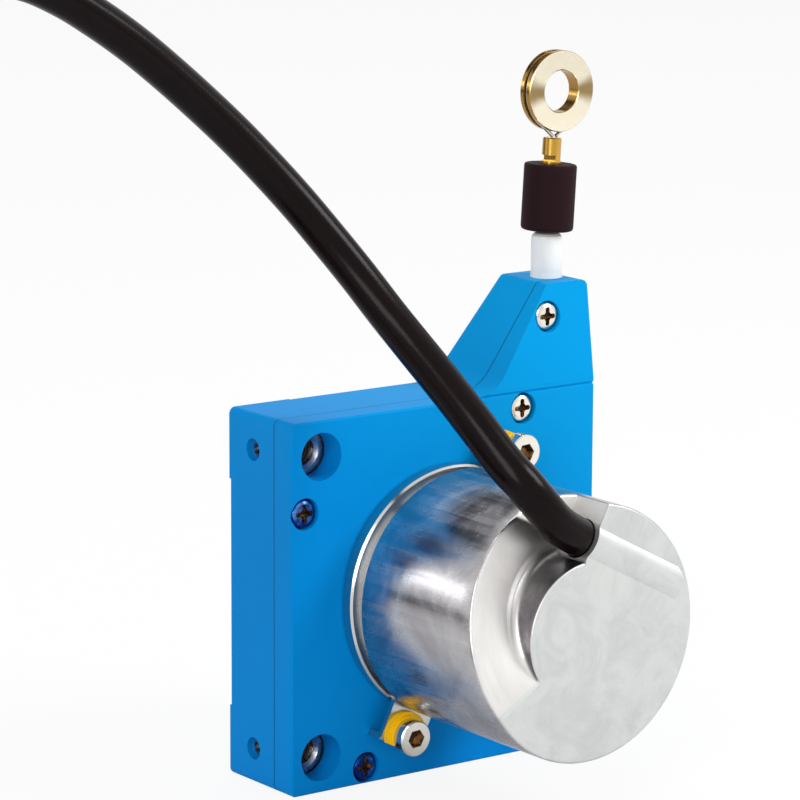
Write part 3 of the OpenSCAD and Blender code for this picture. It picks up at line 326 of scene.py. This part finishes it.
def screw_metal(name, centres, recess_r, recess_depth, tops):
    """Plated screw heads: warm white on top, with painted shade dark brown down in the key socket and
    painted golden glints there, and, on the cover's screws, a painted reflection that turns them bluer on the
    left, where they would mirror their deep pockets. tops gives the y of the head's top over each centre."""
    g = Graph(name)
    x, y, z = g.axes()
    cloud = g.noise(420, 3.0, 0.6)
    inside = 0.0
    for (cx, cz), top in zip(centres, tops):
        dx, dz = x - cx * MM, z - cz * MM
        near = 1 - (dx * dx + dz * dz).root().ramp(recess_r * MM, (recess_r + 0.06) * MM)
        inside = near * (y - top).ramp(0.1 * MM, recess_depth * MM) + inside
    glint = g.noise(900, 2.0)
    steel = g.mix(cloud, rgb("#cfcac0"), rgb("#ece7de"))
    if name == "cover_screw":
        # painted reflection: the cover's screws turn dark blue towards the left
        painted_blue_reflection = g.mix(cloud.ramp(0.4, 0.65), rgb("#0f3380"), rgb("#4f84c8"))
        steel = g.mix(x.ramp(-6 * MM, 6 * MM), painted_blue_reflection, steel)
    # painted shade down in the key socket, dark brown, with painted golden glints
    recess_painted_shade = g.mix(glint.ramp(0.45, 0.62), rgb("#3c2012"), rgb("#b08c58"))
    return g.surface(
        Base_Color=g.mix(inside.least(1.0), steel, recess_painted_shade),
        Metallic=1.0 - inside.least(1.0) * 0.4,
        Roughness=0.2 + (cloud - 0.5) * 0.12 + inside * 0.2)


def sleeve_metal():
    """Plated sleeves: bright at the mouth, with painted shade further down the bore, ribbed there by the thread."""
    g = Graph("sleeve_steel")
    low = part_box("mounting_sleeves")[0]
    x, y, z = g.axes()
    across, up = x.size() - HOLE_REACH * MM, z.size() - HOLE_REACH * MM
    r = (across * across + up * up).root()
    # painted shade: the bore turns dark brown from 1.1 to 1.7 mm past the mouth onwards
    inside = (1 - r.ramp(2.25 * MM, 2.4 * MM)) * (y - low[1]).ramp(1.1 * MM, 1.7 * MM)
    cloud = g.noise(420, 3.0, 0.6)
    thread = (y * (2 * math.pi / (0.7 * MM))).sine()
    return g.surface(
        Base_Color=g.mix(inside, g.mix(cloud, rgb("#b5b0b0"), rgb("#e6e2e0")), rgb("#2a1c1b")),
        Metallic=1.0 - inside * 0.4,
        Roughness=0.28 + (cloud - 0.5) * 0.14 + inside * 0.25,
        Normal=g.bump(thread * inside, 0.00012))


def cable_black():
    """The cable's jacket: near black with a warm tone, satin, with faint lengthwise flow and dust."""
    g = Graph("cable_jacket")
    flow = g.noise(160, 4.0, 0.6)
    fine = g.noise(2400, 3.0, 0.6)
    return g.surface(
        Base_Color=g.mix(flow, rgb("#080203"), rgb("#120708")),
        Roughness=0.22 + (flow - 0.5) * 0.12 + (fine - 0.5) * 0.08,
        Normal=g.bump(fine + flow * 2, 0.000012),
        Specular_IOR_Level=0.1)


# the middles of the cover's screws, x and z in mm, the neck's last, and the clamp screws' head radius
COVER_SCREWS = ((14.2, 25.1), (25.1, -14.2), (-14.2, -25.1), (-25.1, 14.2), (19.7, 38.1))
CLAMP_HEAD_R = 2.65
# the corner holes' distance from the middle both ways, and how far the neck's screw sits back, in mm
HOLE_REACH = 22.25
NECK_SCREW_BACK = 1.06
MATERIALS = {}


def build_materials():
    """Every finish, by its slot in the record."""
    if MATERIALS:
        return MATERIALS
    m = MATERIALS
    m["blue_plastic"] = housing_blue(tuple(bpy.context.scene.encoder_finish.blue))
    m["sleeve_steel"] = sleeve_metal()
    m["screw_steel"] = metal("screw_steel", rgb("#d9d6d0"), 0.2)
    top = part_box("cover_screws")[0][1]
    tops = [top] * 4 + [top + NECK_SCREW_BACK * MM]
    m["cover_screw"] = screw_metal("cover_screw", COVER_SCREWS, 1.45, 0.45, tops)
    low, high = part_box("clamp_screws")
    m["clamp_screw"] = screw_metal(
        "clamp_screw", [(low[0] / MM + CLAMP_HEAD_R, low[2] / MM + CLAMP_HEAD_R),
                        (high[0] / MM - CLAMP_HEAD_R, high[2] / MM - CLAMP_HEAD_R)],
        1.48, 0.35, [low[1]] * 2)
    m["ring_brass"] = turned_ring()
    m["guide_plastic"] = plastic("guide_plastic", rgb("#eeeeec"), 0.35, 0.000002, 0.02)
    m["bush_plastic"] = plastic("bush_plastic", rgb("#e8e4d8"), 0.4, 0.000002, 0.02)
    m["spring_steel"] = metal("spring_steel", rgb("#8f98a3"), 0.3)
    m["drum_plastic"] = plastic("drum_plastic", rgb("#3b3f45"), 0.45, 0.000004)
    m["wire_steel"] = metal("wire_steel", rgb("#c8c8c6"), 0.25)
    m["black_steel"] = metal("black_steel", rgb("#54575c"), 0.35)
    m["flange_aluminium"] = metal("flange_aluminium", rgb("#cbcbca"), 0.2, 0.1)
    m["can_zinc"] = cast_can()
    m["black_rubber"] = plastic("black_rubber", rgb("#261518"), 0.6, 0.000006, 0.2, 0.06)
    m["shaft_steel"] = metal("shaft_steel", rgb("#c4c6c8"), 0.15)
    m["bearing_steel"] = metal("bearing_steel", rgb("#b4b7ba"), 0.12)
    m["brass"] = metal("brass", rgb("#d9a94e"), 0.2, 0.12, 300)
    m["code_plastic"] = plastic("code_plastic", rgb("#d8e0e4"), 0.2, 0.000001, 0.02)
    m["board"] = plastic("board", rgb("#1d6b3c"), 0.35, 0.000003)
    m["black_plastic"] = plastic("black_plastic", rgb("#202327"), 0.45, 0.000004)
    m["yellow_plastic"] = plastic("yellow_plastic", rgb("#ffc800"), 0.38, 0.000004)
    m["cable_jacket"] = cable_black()
    m["core_plastic"] = plastic("core_plastic", rgb("#7d4b9a"), 0.4, 0.000002)
    return m


# --------------------------------------------------------------------- shapes


def mesh_object(name, points, faces, material, smooth=True):
    """One object from whole arrays: points (n, 3) in metres and faces (m, 3 or 4) of point numbers."""
    points = np.asarray(points, float)
    faces = np.asarray(faces, int)
    mesh = bpy.data.meshes.new(name)
    mesh.from_pydata(points.tolist(), [], faces.tolist())
    if smooth:
        mesh.polygons.foreach_set("use_smooth", np.ones(len(faces), bool))
    mesh.update()
    made = bpy.data.objects.new(name, mesh)
    bpy.context.scene.collection.objects.link(made)
    made.data.materials.append(material)
    return made


def grid_faces(rows, columns, closed_rows=False, closed_columns=True):
    """Quads over a grid of points, rows first, joined round where it is closed."""
    r = np.arange(rows if closed_rows else rows - 1)
    c = np.arange(columns if closed_columns else columns - 1)
    r, c = np.meshgrid(r, c, indexing="ij")
    r2, c2 = (r + 1) % rows, (c + 1) % columns
    quads = np.stack([r * columns + c, r * columns + c2, r2 * columns + c2, r2 * columns + c], -1)
    return quads.reshape(-1, 4)


def smooth_line(points, split):
    """Catmull-Rom line through the points: p(t) = (2b + (c-a)t + (2a-5b+4c-d)t^2 + (3b-a-3c+d)t^3) / 2."""
    p = np.asarray(points, float)
    a = np.vstack([p[:1], p[:-2]])
    b, c = p[:-1], p[1:]
    d = np.vstack([p[2:], p[-1:]])
    t = (np.arange(split) / split)[None, :, None]
    a, b, c, d = (x[:, None, :] for x in (a, b, c, d))
    square, cube = 2 * a - 5 * b + 4 * c - d, 3 * b - a - 3 * c + d
    line = 0.5 * (2 * b + (c - a) * t + square * t ** 2 + cube * t ** 3)
    return np.vstack([line.reshape(-1, 3), p[-1:]])


def tube(name, line, radius, sides, material):
    """A round tube about a line: point(k, j) = line[k] + r (cos a_j n_k + sin a_j b_k), with n carried along
    without twist. Its two ends are closed by flat caps with their own points."""
    line = np.asarray(line, float)
    ahead = np.gradient(line, axis=0)
    ahead /= np.linalg.norm(ahead, axis=1)[:, None]
    n = np.cross(ahead[0], (0.0, 1.0, 0.3))
    n /= np.linalg.norm(n)
    normals = [n]
    for h in ahead[1:]:
        n = n - (n @ h) * h
        n = n / np.linalg.norm(n)
        normals.append(n)
    normals = np.array(normals)
    sides_of = np.cross(ahead, normals)
    a = np.linspace(0, 2 * math.pi, sides, endpoint=False)
    rings = line[:, None, :] + radius * (
        np.cos(a)[None, :, None] * normals[:, None, :] + np.sin(a)[None, :, None] * sides_of[:, None, :])
    count = len(line)
    points = rings.reshape(-1, 3)
    quads = grid_faces(count, sides)
    first, last = rings[0], rings[-1]
    base = len(points)
    points = np.vstack([points, first, line[:1], last, line[-1:]])
    j = np.arange(sides)
    k = (j + 1) % sides
    cap_a = np.stack([base + k, base + j, np.full(sides, base + sides)], -1)
    cap_b = np.stack([base + sides + 1 + j, base + sides + 1 + k, np.full(sides, base + 2 * sides + 1)], -1)
    faces = quads.tolist() + cap_a.tolist() + cap_b.tolist()
    mesh = bpy.data.meshes.new(name)
    mesh.from_pydata(points.tolist(), [], faces)
    smooth = np.ones(len(faces), bool)
    smooth[len(quads):] = False
    mesh.polygons.foreach_set("use_smooth", smooth)
    mesh.update()
    made = bpy.data.objects.new(name, mesh)
    bpy.context.scene.collection.objects.link(made)
    made.data.materials.append(material)
    return made


# ---------------------------------------------------------------------- cable

# the wire's reach into the stopper, in mm, and its sides
WIRE_INTO_STOPPER = 0.6
WIRE_SIDES = 24
# the cable's radius and its coil in mm
CABLE_R = 2.8
COIL_CENTRE = (-135.0, -10.0)
COIL_R = 34.0
COIL_FLOOR = -27.5 + 0.8

ROUTE = [
    (2.87, -46.27, 11.96), (0.49, -46.27, 13.19), (-3.8, -46.8, 15.8), (-6.8, -46.6, 19),
    (-9, -45.5, 22), (-10.6, -42.8, 25), (-12.3, -37.8, 30.2), (-13.6, -32.8, 34.8), (-15, -28, 39.2),
    (-16.7, -23.8, 43.6), (-19, -19.8, 48.8), (-22, -16.6, 54), (-25.6, -14.2, 59.2),
    (-29.8, -12.6, 64.2), (-34.4, -11.6, 69), (-39.4, -11, 73.6), (-44.6, -10.7, 78),
    (-50, -10.6, 82.2), (-55.6, -10.5, 86), (-61.4, -10.5, 89.4), (-67.6, -10.5, 92),
    (-74.2, -10.5, 93), (-80.6, -10.5, 91.8), (-86.2, -10.6, 88), (-90.4, -10.8, 82.6),
    (-93, -11.1, 76), (-94.6, -11.6, 68), (-95.4, -12.6, 58), (-95.6, -15, 47), (-95.6, -18.6, 36),
    (-95.6, -23.2, 25), (-95.5, -28, 13.5), (-95.4, -31, 2), (-95.4, -28.6, -8.4),
    (-95.4, -21.4, -15.7), (-95.4, -12, -18.3), (-95.4, -10, -18.3),
]


def coil_line(per_turn=72):
    """The tied coil: six turns, down the outer column, up the middle one and down the inner one.
    Between two columns or layers it eases over 25 degrees, each time a little earlier in the turn."""
    step = 2 * CABLE_R
    low, high = COIL_FLOOR + CABLE_R, COIL_FLOOR + CABLE_R + step
    outer, inner = COIL_R + step, COIL_R - step
    places = [(outer, high), (outer, low), (COIL_R, low), (COIL_R, high), (inner, high), (inner, low)]
    moves = [315 + 332 * k for k in range(5)]
    end = 1975.0
    turn = np.linspace(0, end, int(end / 360 * per_turn))
    radius = np.full(len(turn), places[0][0])
    height = np.full(len(turn), places[0][1])
    for k, start in enumerate(moves):
        t = np.clip((turn - start) / 25.0, 0, 1)
        t = t * t * (3 - 2 * t)
        radius += t * (places[k + 1][0] - places[k][0])
        height += t * (places[k + 1][1] - places[k][1])
    a = np.radians(turn)
    return np.stack([
        COIL_CENTRE[0] + radius * np.cos(a), COIL_CENTRE[1] + radius * np.sin(a), height], -1)


# ------------------------------------------------------------------ encoder can

RAMP_START, RAMP_SPAN, RAMP_DROP = 213.5, 130.0, 7.0
RAMP_WIDTH, EXIT, STEP = 8.25, 152.3, 5.69
CABLE_INSET, CABLE_DROP, BORE_R = 6.75, 3.1, 2.95
RIDGE_R, RIDGE_LENGTH, RIDGE_INSET, RIM = 3.8, 18.0, 0.5, 0.4


class CanShape:
    """The end cap's sizes in mm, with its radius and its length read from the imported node."""

    def __init__(self):
        low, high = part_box("encoder_can")
        self.r = (high[0] - low[0]) / 2 / MM
        self.face = -low[1] / MM - (RIDGE_R - CABLE_DROP)
        self.back = -high[1] / MM
        self.boss = self.r - RAMP_WIDTH
        self.side = self.r - CABLE_INSET

    def place(self, r, angle, depth):
        """World point of a radius, an angle in degrees and a depth below the face."""
        a = np.radians(angle)
        return np.stack(np.broadcast_arrays(r * np.cos(a), depth - self.face, r * np.sin(a)), -1)

    def beside(self, along, side, depth):
        """World point of a distance along the cable, a distance beside the axis and a depth."""
        c, s = math.cos(math.radians(EXIT)), math.sin(math.radians(EXIT))
        return np.stack(np.broadcast_arrays(along * c + side * s, depth - self.face, along * s - side * c), -1)

    def wall_angle(self, r):
        """Angle where a circle of that radius meets the step wall: exit - acos(step / r)."""
        return EXIT - np.degrees(np.arccos(STEP / r))

    def floor(self, r, angle):
        """Depth of the ramp: drop sin(90 past / span), deepened by the U-shaped trough under the cable."""
        past = np.clip(RAMP_START - angle, 0, RAMP_SPAN)
        ramp = RAMP_DROP * np.sin(np.radians(90 * past / RAMP_SPAN))
        a = np.radians(angle)
        c, s = math.cos(math.radians(EXIT)), math.sin(math.radians(EXIT))
        off = (r * np.cos(a) * s - r * np.sin(a) * c - self.side - 1) / BORE_R
        trough = RAMP_DROP + 0.2 - BORE_R * (1 - np.sqrt(np.clip(1 - off ** 2, 0, 1)))
        return np.where(np.abs(off) < 1, np.maximum(ramp, np.minimum(trough, ramp + 1)), ramp)

    def cut_side(self, columns=220):
        """The ramp from the boss's top edge to the can's back: a rounded edge, the wall, its fillet, the
        floor, the rounded rim and the side. Its columns run from the ramp's start to the step wall."""
        t = np.linspace(0, 1, columns)
        rows = []

        def row(r, depth):
            r = np.broadcast_to(r, t.shape)
            end = self.wall_angle(r)
            angle = RAMP_START + (end - RAMP_START) * t
            rows.append(self.place(r, angle, depth(angle) if callable(depth) else depth))

        middle = RAMP_START + (self.wall_angle(self.boss) - RAMP_START) * t
        deep = self.floor(np.full(columns, self.boss + 1.2), middle)
        edge, fillet = np.minimum(0.22, 0.2 * deep), np.minimum(1.3, 0.7 * deep)
        for q in np.linspace(0, 1, 5):
            row(self.boss - edge * (1 - math.sin(q * math.pi / 2)), edge * (1 - math.cos(q * math.pi / 2)))
        for q in np.linspace(0.15, 1, 6):
            row(self.boss, edge + (deep - fillet - edge) * q)
        for q in np.linspace(0.15, 1, 7):
            row(self.boss + fillet * (1 - math.cos(q * math.pi / 2)), deep - fillet * (1 - math.sin(q * math.pi / 2)))
        for q in np.linspace(0.05, 1, 22):
            r = self.boss + fillet + (self.r - RIM - self.boss - fillet) * q
            row(r, lambda angle, r=r: self.floor(r, angle))
        outer = self.floor(np.full(columns, self.r - RIM), RAMP_START + (self.wall_angle(self.r) - RAMP_START) * t)
        for q in np.linspace(0.2, 1, 5):
            row(self.r - RIM * (1 - math.sin(q * math.pi / 2)), outer + RIM * (1 - math.cos(q * math.pi / 2)))
        for q in np.linspace(0.1, 1, 8):
            row(self.r, outer + RIM + (self.face - self.back - 0.3 - outer - RIM) * q)
        return np.array(rows)

    def whole_side(self, columns=260):
        """The rest of the rim and side, from the step wall round to the ramp's start."""
        t = np.linspace(0, 1, columns)
        rows = []
        for q in np.linspace(0, 1, 6):
            rows.append((self.r - RIM * (1 - math.sin(q * math.pi / 2)), RIM * (1 - math.cos(q * math.pi / 2))))
        rows += [(self.r, RIM + (self.face - self.back - 0.3 - RIM) * q) for q in np.linspace(0.1, 1, 8)]
        return np.array([
            self.place(r, self.wall_angle(r) + (RAMP_START - 360 - self.wall_angle(r)) * t, d) for r, d in rows])

    def face_disc(self, rings=14):
        """The flat face, out to the boss's edge, the step wall's line, and the rim elsewhere."""
        top = self.r - RIM
        first = np.linspace(RAMP_START - 360, self.wall_angle(top), 200)
        second = np.linspace(self.wall_angle(top), self.wall_angle(self.boss), 14)[1:-1]
        t = np.linspace(1, 0, 220)
        third = RAMP_START + (self.wall_angle(self.boss) - RAMP_START) * t
        deep = self.floor(np.full(220, self.boss + 1.2), third)
        edges = self.boss - np.minimum(0.22, 0.2 * deep)
        angle = np.concatenate([first, second, third])
        out = np.concatenate([
            np.full(200, top), STEP / np.cos(np.radians(second - EXIT)), edges])
        return np.array([self.place(out * q, angle, 0.0) for q in np.linspace(0.0005, 1, rings)])

    def step_wall(self):
        """The wall that the cable leaves through: rings from the bore's circle out to its outline."""
        left = math.sqrt(self.boss ** 2 - STEP ** 2) - self.side
        right = math.sqrt(self.r ** 2 - STEP ** 2) - 0.05 - self.side
        arch = math.sqrt(RIDGE_R ** 2 - CABLE_DROP ** 2)
        low, high = RAMP_DROP + 0.4 - CABLE_DROP, -CABLE_DROP
        corners = [(left, high), (-arch, high), (arch, high), (right, high), (right, low), (left, low)]
        turn = np.unique(np.concatenate([
            np.linspace(-math.pi, math.pi, 97), [math.atan2(y, x) for x, y in corners]]))
        c, s = np.cos(turn), np.sin(turn)
        with np.errstate(divide="ignore"):
            reach = np.minimum(
                np.where(c < 0, left / c, right / c), np.where(s < 0, high / s, low / s))
            over = (s < 0) & (np.abs(high / np.where(s < 0, s, 1) * c) <= arch + 1e-9)
        reach = np.where(over, RIDGE_R, reach)
        rows = [BORE_R + (reach - BORE_R) * q for q in np.linspace(0, 1, 4)]
        return np.array([self.beside(STEP, self.side + d * c, CABLE_DROP + d * s) for d in rows])

    def bore(self):
        """The round bore behind the wall."""
        turn = np.linspace(-math.pi, math.pi, 65)
        return np.array([
            self.beside(s, self.side + BORE_R * np.cos(turn), CABLE_DROP + BORE_R * np.sin(turn))
            for s in np.linspace(STEP - 6, STEP, 4)])

    def ridge(self):
        """The raised arch over the bore, cut flat at its far end: rows along it, then down its end."""
        half = math.acos(CABLE_DROP / RIDGE_R)
        turn = np.linspace(-half, half, 33)
        side = self.side + RIDGE_R * np.sin(turn)
        depth = CABLE_DROP - RIDGE_R * np.cos(turn)
        stop = np.maximum(STEP - RIDGE_LENGTH, -np.sqrt((self.r - RIM - RIDGE_INSET) ** 2 - side ** 2))
        along = [STEP + (stop - STEP) * q for q in np.linspace(0, 1, 24)]
        return np.array([self.beside(s, side, depth) for s in along]), np.array([
            self.beside(stop, side, depth * q) for q in (1.0, 0.5, -0.02)])

    def back_rim(self):
        """The bevel and the narrow back face beside the clamp groove."""
        turn = np.linspace(360, 0, 241)
        length = self.face - self.back
        bevel = np.array([self.place(self.r - q, turn, length - 0.3 + q) for q in (0.0, 0.3)])
        flat = np.array([self.place(self.r - q, turn, length) for q in (0.3, 1.38)])
        return bevel, flat


def joined_panels(name, panels, material):
    """One object from several grids of points (rows, columns, 3) in mm. Beside each grid stands a vector
    that its middle quad must face, so that every normal points outward."""
    points, faces, start = [], [], 0
    for grid, outward in panels:
        rows, columns = grid.shape[:2]
        i, j = (rows - 1) // 2, (columns - 1) // 2
        a, b, c = grid[i, j], grid[i, j + 1], grid[i + 1, j + 1]
        quads = grid_faces(rows, columns, closed_columns=False) + start
        faces.append(quads if np.cross(b - a, c - a) @ np.asarray(outward) > 0 else quads[:, ::-1])
        points.append(grid.reshape(-1, 3) * MM)
        start += rows * columns
    return mesh_object(name, np.vstack(points), np.vstack(faces), material)


def radial(grid, sign=1.0):
    """The direction away from the encoder's axis at the middle of a grid."""
    p = grid[(grid.shape[0] - 1) // 2, (grid.shape[1] - 1) // 2]
    return (sign * p[0], 0.0, sign * p[2])


# ------------------------------------------------------------------ properties


class CableSettings(bpy.types.PropertyGroup):
    """What a user may change on the cable."""

    diameter: bpy.props.FloatProperty(
        name="Diameter", description="Diameter of the cable", default=5.6 * MM, min=5 * MM, max=5.7 * MM,
        unit="LENGTH", precision=4)
    sides: bpy.props.IntProperty(
        name="Sides", description="Flat sides around the cable's mesh", default=28, min=12, max=64)


class FinishSettings(bpy.types.PropertyGroup):
    """What a user may change on the finishes."""

    blue: bpy.props.FloatVectorProperty(
        name="Housing colour", description="Colour of the housing's plastic", subtype="COLOR",
        size=4, default=rgb("#0088d6"), min=0, max=1)


class StageSettings(bpy.types.PropertyGroup):
    """What a user may change on the studio."""

    key: bpy.props.FloatProperty(
        name="Key light", description="Power of the large soft light", default=3.0, min=0, unit="POWER")
    floor_size: bpy.props.FloatProperty(
        name="Floor", description="Width of the floor", default=4.0, min=1, unit="LENGTH")


# ------------------------------------------------------------------- operators


class FinishCadNodes(bpy.types.Operator):
    """Gives every CAD node the finish of its slot"""

    bl_idname = "encoder.finish_nodes"
    bl_label = "Finish the CAD nodes"

    def execute(self, context):
        finishes = build_materials()
        slots = {s["node"]: s["material_slot"] for s in frame["record"]["subparts"]}
        slots.update(cover_screws="cover_screw", clamp_screws="clamp_screw", pull_ring="ring_brass")
        for node, obj in frame["nodes"].items():
            obj.data.materials.clear()
            obj.data.materials.append(finishes[slots[node]])
        return {"FINISHED"}


class BuildCable(bpy.types.Operator):
    """Builds the cable along its route and its spare length as a tied coil"""

    bl_idname = "encoder.cable"
    bl_label = "Build the cable"

    def execute(self, context):
        settings = context.scene.encoder_cable
        route = smooth_line(np.array(ROUTE) * MM, 8)
        line = np.vstack([route[:-1], coil_line() * MM])
        black = build_materials()["cable_jacket"]
        jacket = tube("cable_jacket", line, settings.diameter / 2, settings.sides, black)
        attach(jacket, "base")
        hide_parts("cable", "cable_coil")
        length = float(np.linalg.norm(np.diff(line, axis=0), axis=1).sum())
        print("cable length", round(length, 4))
        return {"FINISHED"}


class BuildWire(bpy.types.Operator):
    """Builds the measuring wire, which pays out between the guide's mouth and the stopper"""

    bl_idname = "encoder.wire"
    bl_label = "Build the measuring wire"

    def execute(self, context):
        low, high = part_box("measuring_wire")
        x, y = (low[0] + high[0]) / 2, (low[1] + high[1]) / 2
        mouth, top = high[2], high[2] + WIRE_INTO_STOPPER * MM
        line = [(x, y, low[2]), (x, y, mouth), (x, y, top)]
        steel = build_materials()["wire_steel"]
        wire = tube("measuring_wire_run", line, (high[0] - low[0]) / 2, WIRE_SIDES, steel)
        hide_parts("measuring_wire")
        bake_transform(wire)
        return {"FINISHED"}


class BuildCan(bpy.types.Operator):
    """Builds the encoder's can with its smooth cable ramp, step wall, bore and ridge"""

    bl_idname = "encoder.can"
    bl_label = "Build the encoder's can"

    def execute(self, context):
        shape = CanShape()
        front, back = (0, -1, 0), (0, 1, 0)
        leave = shape.beside(1, 0, 0) - shape.beside(0, 0, 0)
        side, bore = shape.whole_side(), shape.bore()
        ridge, ridge_end = shape.ridge()
        bevel, flat = shape.back_rim()
        hole = shape.beside(STEP - 3, shape.side, CABLE_DROP) - bore[1, 32]
        can = joined_panels("encoder_can_skin", [
            (shape.cut_side(), front), (side, radial(side)), (shape.face_disc(), front),
            (shape.step_wall(), leave), (bore, hole), (ridge, front), (ridge_end, -leave),
            (bevel, radial(bevel)), (flat, back)], build_materials()["can_zinc"])
        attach(can, "base")
        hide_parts("encoder_can")
        return {"FINISHED"}


class BuildStage(bpy.types.Operator):
    """Sets the camera, the soft lights and the pale floor"""

    bl_idname = "encoder.stage"
    bl_label = "Build the studio"

    def execute(self, context):
        settings = context.scene.encoder_stage
        scene = context.scene
        build_camera(scene)
        build_floor(settings.floor_size)
        build_lights(settings.key)
        build_cards()
        build_world(scene)
        scene.view_settings.view_transform = "Standard"
        return {"FINISHED"}


def build_camera(scene):
    """A long lens, turned to the side and a little down, as a product is usually taken."""
    azimuth, height, roll = math.radians(-36.42), math.radians(11.275), math.radians(0.303)
    data = bpy.data.cameras.new("camera")
    data.lens = 180.0
    data.sensor_width = 36.0
    data.clip_end = 20
    level = math.cos(height)
    back = Vector((math.sin(azimuth) * level, -math.cos(azimuth) * level, math.sin(height)))
    place = Vector((-344.11, -470.70, 141.66)) * MM
    right = (-back).cross(Vector((0, 0, 1))).normalized()
    up = right.cross(-back)
    turned = right * math.cos(roll) + up * math.sin(roll)
    upward = -right * math.sin(roll) + up * math.cos(roll)
    camera = bpy.data.objects.new("camera", data)
    camera.matrix_world = Matrix((
        (turned.x, upward.x, back.x, place.x),
        (turned.y, upward.y, back.y, place.y),
        (turned.z, upward.z, back.z, place.z),
        (0, 0, 0, 1)))
    scene.collection.objects.link(camera)
    scene.camera = camera


def build_floor(size):
    """A pale floor that is white to the camera and still takes the object's shadow."""
    g = Graph("floor_pale")
    lit = g.node("ShaderNodeBsdfDiffuse", None, Color=rgb("#f4f4f4"))
    white = g.node("ShaderNodeEmission", None, Color=(1, 1, 1, 1), Strength=1.0)
    seen = g.node("ShaderNodeLightPath", out="Is Camera Ray")
    g.node("ShaderNodeOutputMaterial", None, g.node("ShaderNodeMixShader", None, seen * 0.88, lit, white))
    h = size / 2
    z = -27.5 * MM
    floor = mesh_object("floor", [(-h, -h, z), (h, -h, z), (h, h, z), (-h, h, z)], [(0, 1, 2, 3)], g.material)


def add_light(name, place, target, size, power, colour=(1, 1, 1)):
    data = bpy.data.lights.new(name, "AREA")
    data.shape = "RECTANGLE"
    data.size, data.size_y = size
    data.energy = power
    data.color = colour
    lamp = bpy.data.objects.new(name, data)
    place, target = Vector(place), Vector(target)
    lamp.location = place
    lamp.rotation_euler = (target - place).to_track_quat("-Z", "Y").to_euler()
    bpy.context.scene.collection.objects.link(lamp)
    return lamp


def build_lights(key):
    add_light("key", (0.42, -0.4, 0.46), (0.02, 0, 0.04), (0.3, 0.3), key)
    add_light("left", (-1.0, -0.7, 0.5), (0, 0, 0.02), (0.4, 0.9), key * 2.2)
    add_light("top", (0.0, 0.3, 1.3), (0, 0, 0.02), (0.9, 0.9), key * 1.6)
    add_light("streak", (-0.51, 0.71, 0.22), (0, 0, 0), (0.13, 0.1), key * 0.08)


def build_cards():
    """Dark cards that only mirrors see: the polished metal shows them as bands along its side."""
    dark = plastic("card_dark", rgb("#141212"), 0.9, 0.000002, shine=0.0)
    for name, centre, across, upward in (
            ("card_high", (0.03, 0.6, 0.45), (0.34, 0, -0.04), (0, -0.06, 0.1)),
            ("card_level", (-0.5, 0.65, 0.02), (0.2, 0.155, 0), (0, 0, 0.04))):
        c, a, b = (np.array(v) for v in (centre, across, upward))
        card = mesh_object(name, [c - a - b, c + a - b, c + a + b, c - a + b], [(0, 1, 2, 3)], dark)
        card.visible_camera = card.visible_diffuse = card.visible_shadow = False


def build_world(scene):
    """White to the camera and to mirrors, and a plain soft light on everything else."""
    world = bpy.data.worlds.new("studio")
    scene.world = world
    world.use_nodes = True
    tree = world.node_tree
    tree.nodes.clear()
    path = tree.nodes.new("ShaderNodeLightPath")
    seen = tree.nodes.new("ShaderNodeMath")
    seen.operation = "MAXIMUM"
    tree.links.new(path.outputs["Is Camera Ray"], seen.inputs[0])
    tree.links.new(path.outputs["Is Glossy Ray"], seen.inputs[1])
    strength = tree.nodes.new("ShaderNodeMapRange")
    tree.links.new(seen.outputs[0], strength.inputs[0])
    strength.inputs[3].default_value = 0.45
    strength.inputs[4].default_value = 1.0
    light = tree.nodes.new("ShaderNodeBackground")
    light.inputs[0].default_value = (1, 1, 1, 1)
    tree.links.new(strength.outputs[0], light.inputs[1])
    end = tree.nodes.new("ShaderNodeOutputWorld")
    tree.links.new(light.outputs[0], end.inputs[0])


OPERATORS = [FinishCadNodes, BuildCan, BuildCable, BuildWire, BuildStage]


class EncoderPanel(bpy.types.Panel):
    """Lists the pieces of the encoder"""

    bl_idname = "VIEW3D_PT_encoder"
    bl_label = "Draw wire encoder"
    bl_space_type = "VIEW_3D"
    bl_region_type = "UI"
    bl_category = "Encoder"

    def draw(self, context):
        for operator in OPERATORS:
            self.layout.operator(operator.bl_idname)
        for group in ("encoder_cable", "encoder_finish", "encoder_stage"):
            settings = getattr(context.scene, group)
            for key in type(settings).__annotations__:
                self.layout.prop(settings, key)


CLASSES = [CableSettings, FinishSettings, StageSettings, *OPERATORS, EncoderPanel]


def register():
    for c in CLASSES:
        bpy.utils.register_class(c)
    bpy.types.Scene.encoder_cable = bpy.props.PointerProperty(type=CableSettings)
    bpy.types.Scene.encoder_finish = bpy.props.PointerProperty(type=FinishSettings)
    bpy.types.Scene.encoder_stage = bpy.props.PointerProperty(type=StageSettings)


def unregister():
    del bpy.types.Scene.encoder_stage
    del bpy.types.Scene.encoder_finish
    del bpy.types.Scene.encoder_cable
    for c in reversed(CLASSES):
        bpy.utils.unregister_class(c)


def main():
    register()
    for operator in OPERATORS:
        group, name = operator.bl_idname.split(".")
        getattr(getattr(bpy.ops, group), name)()


if __name__ == "__main__":
    main()
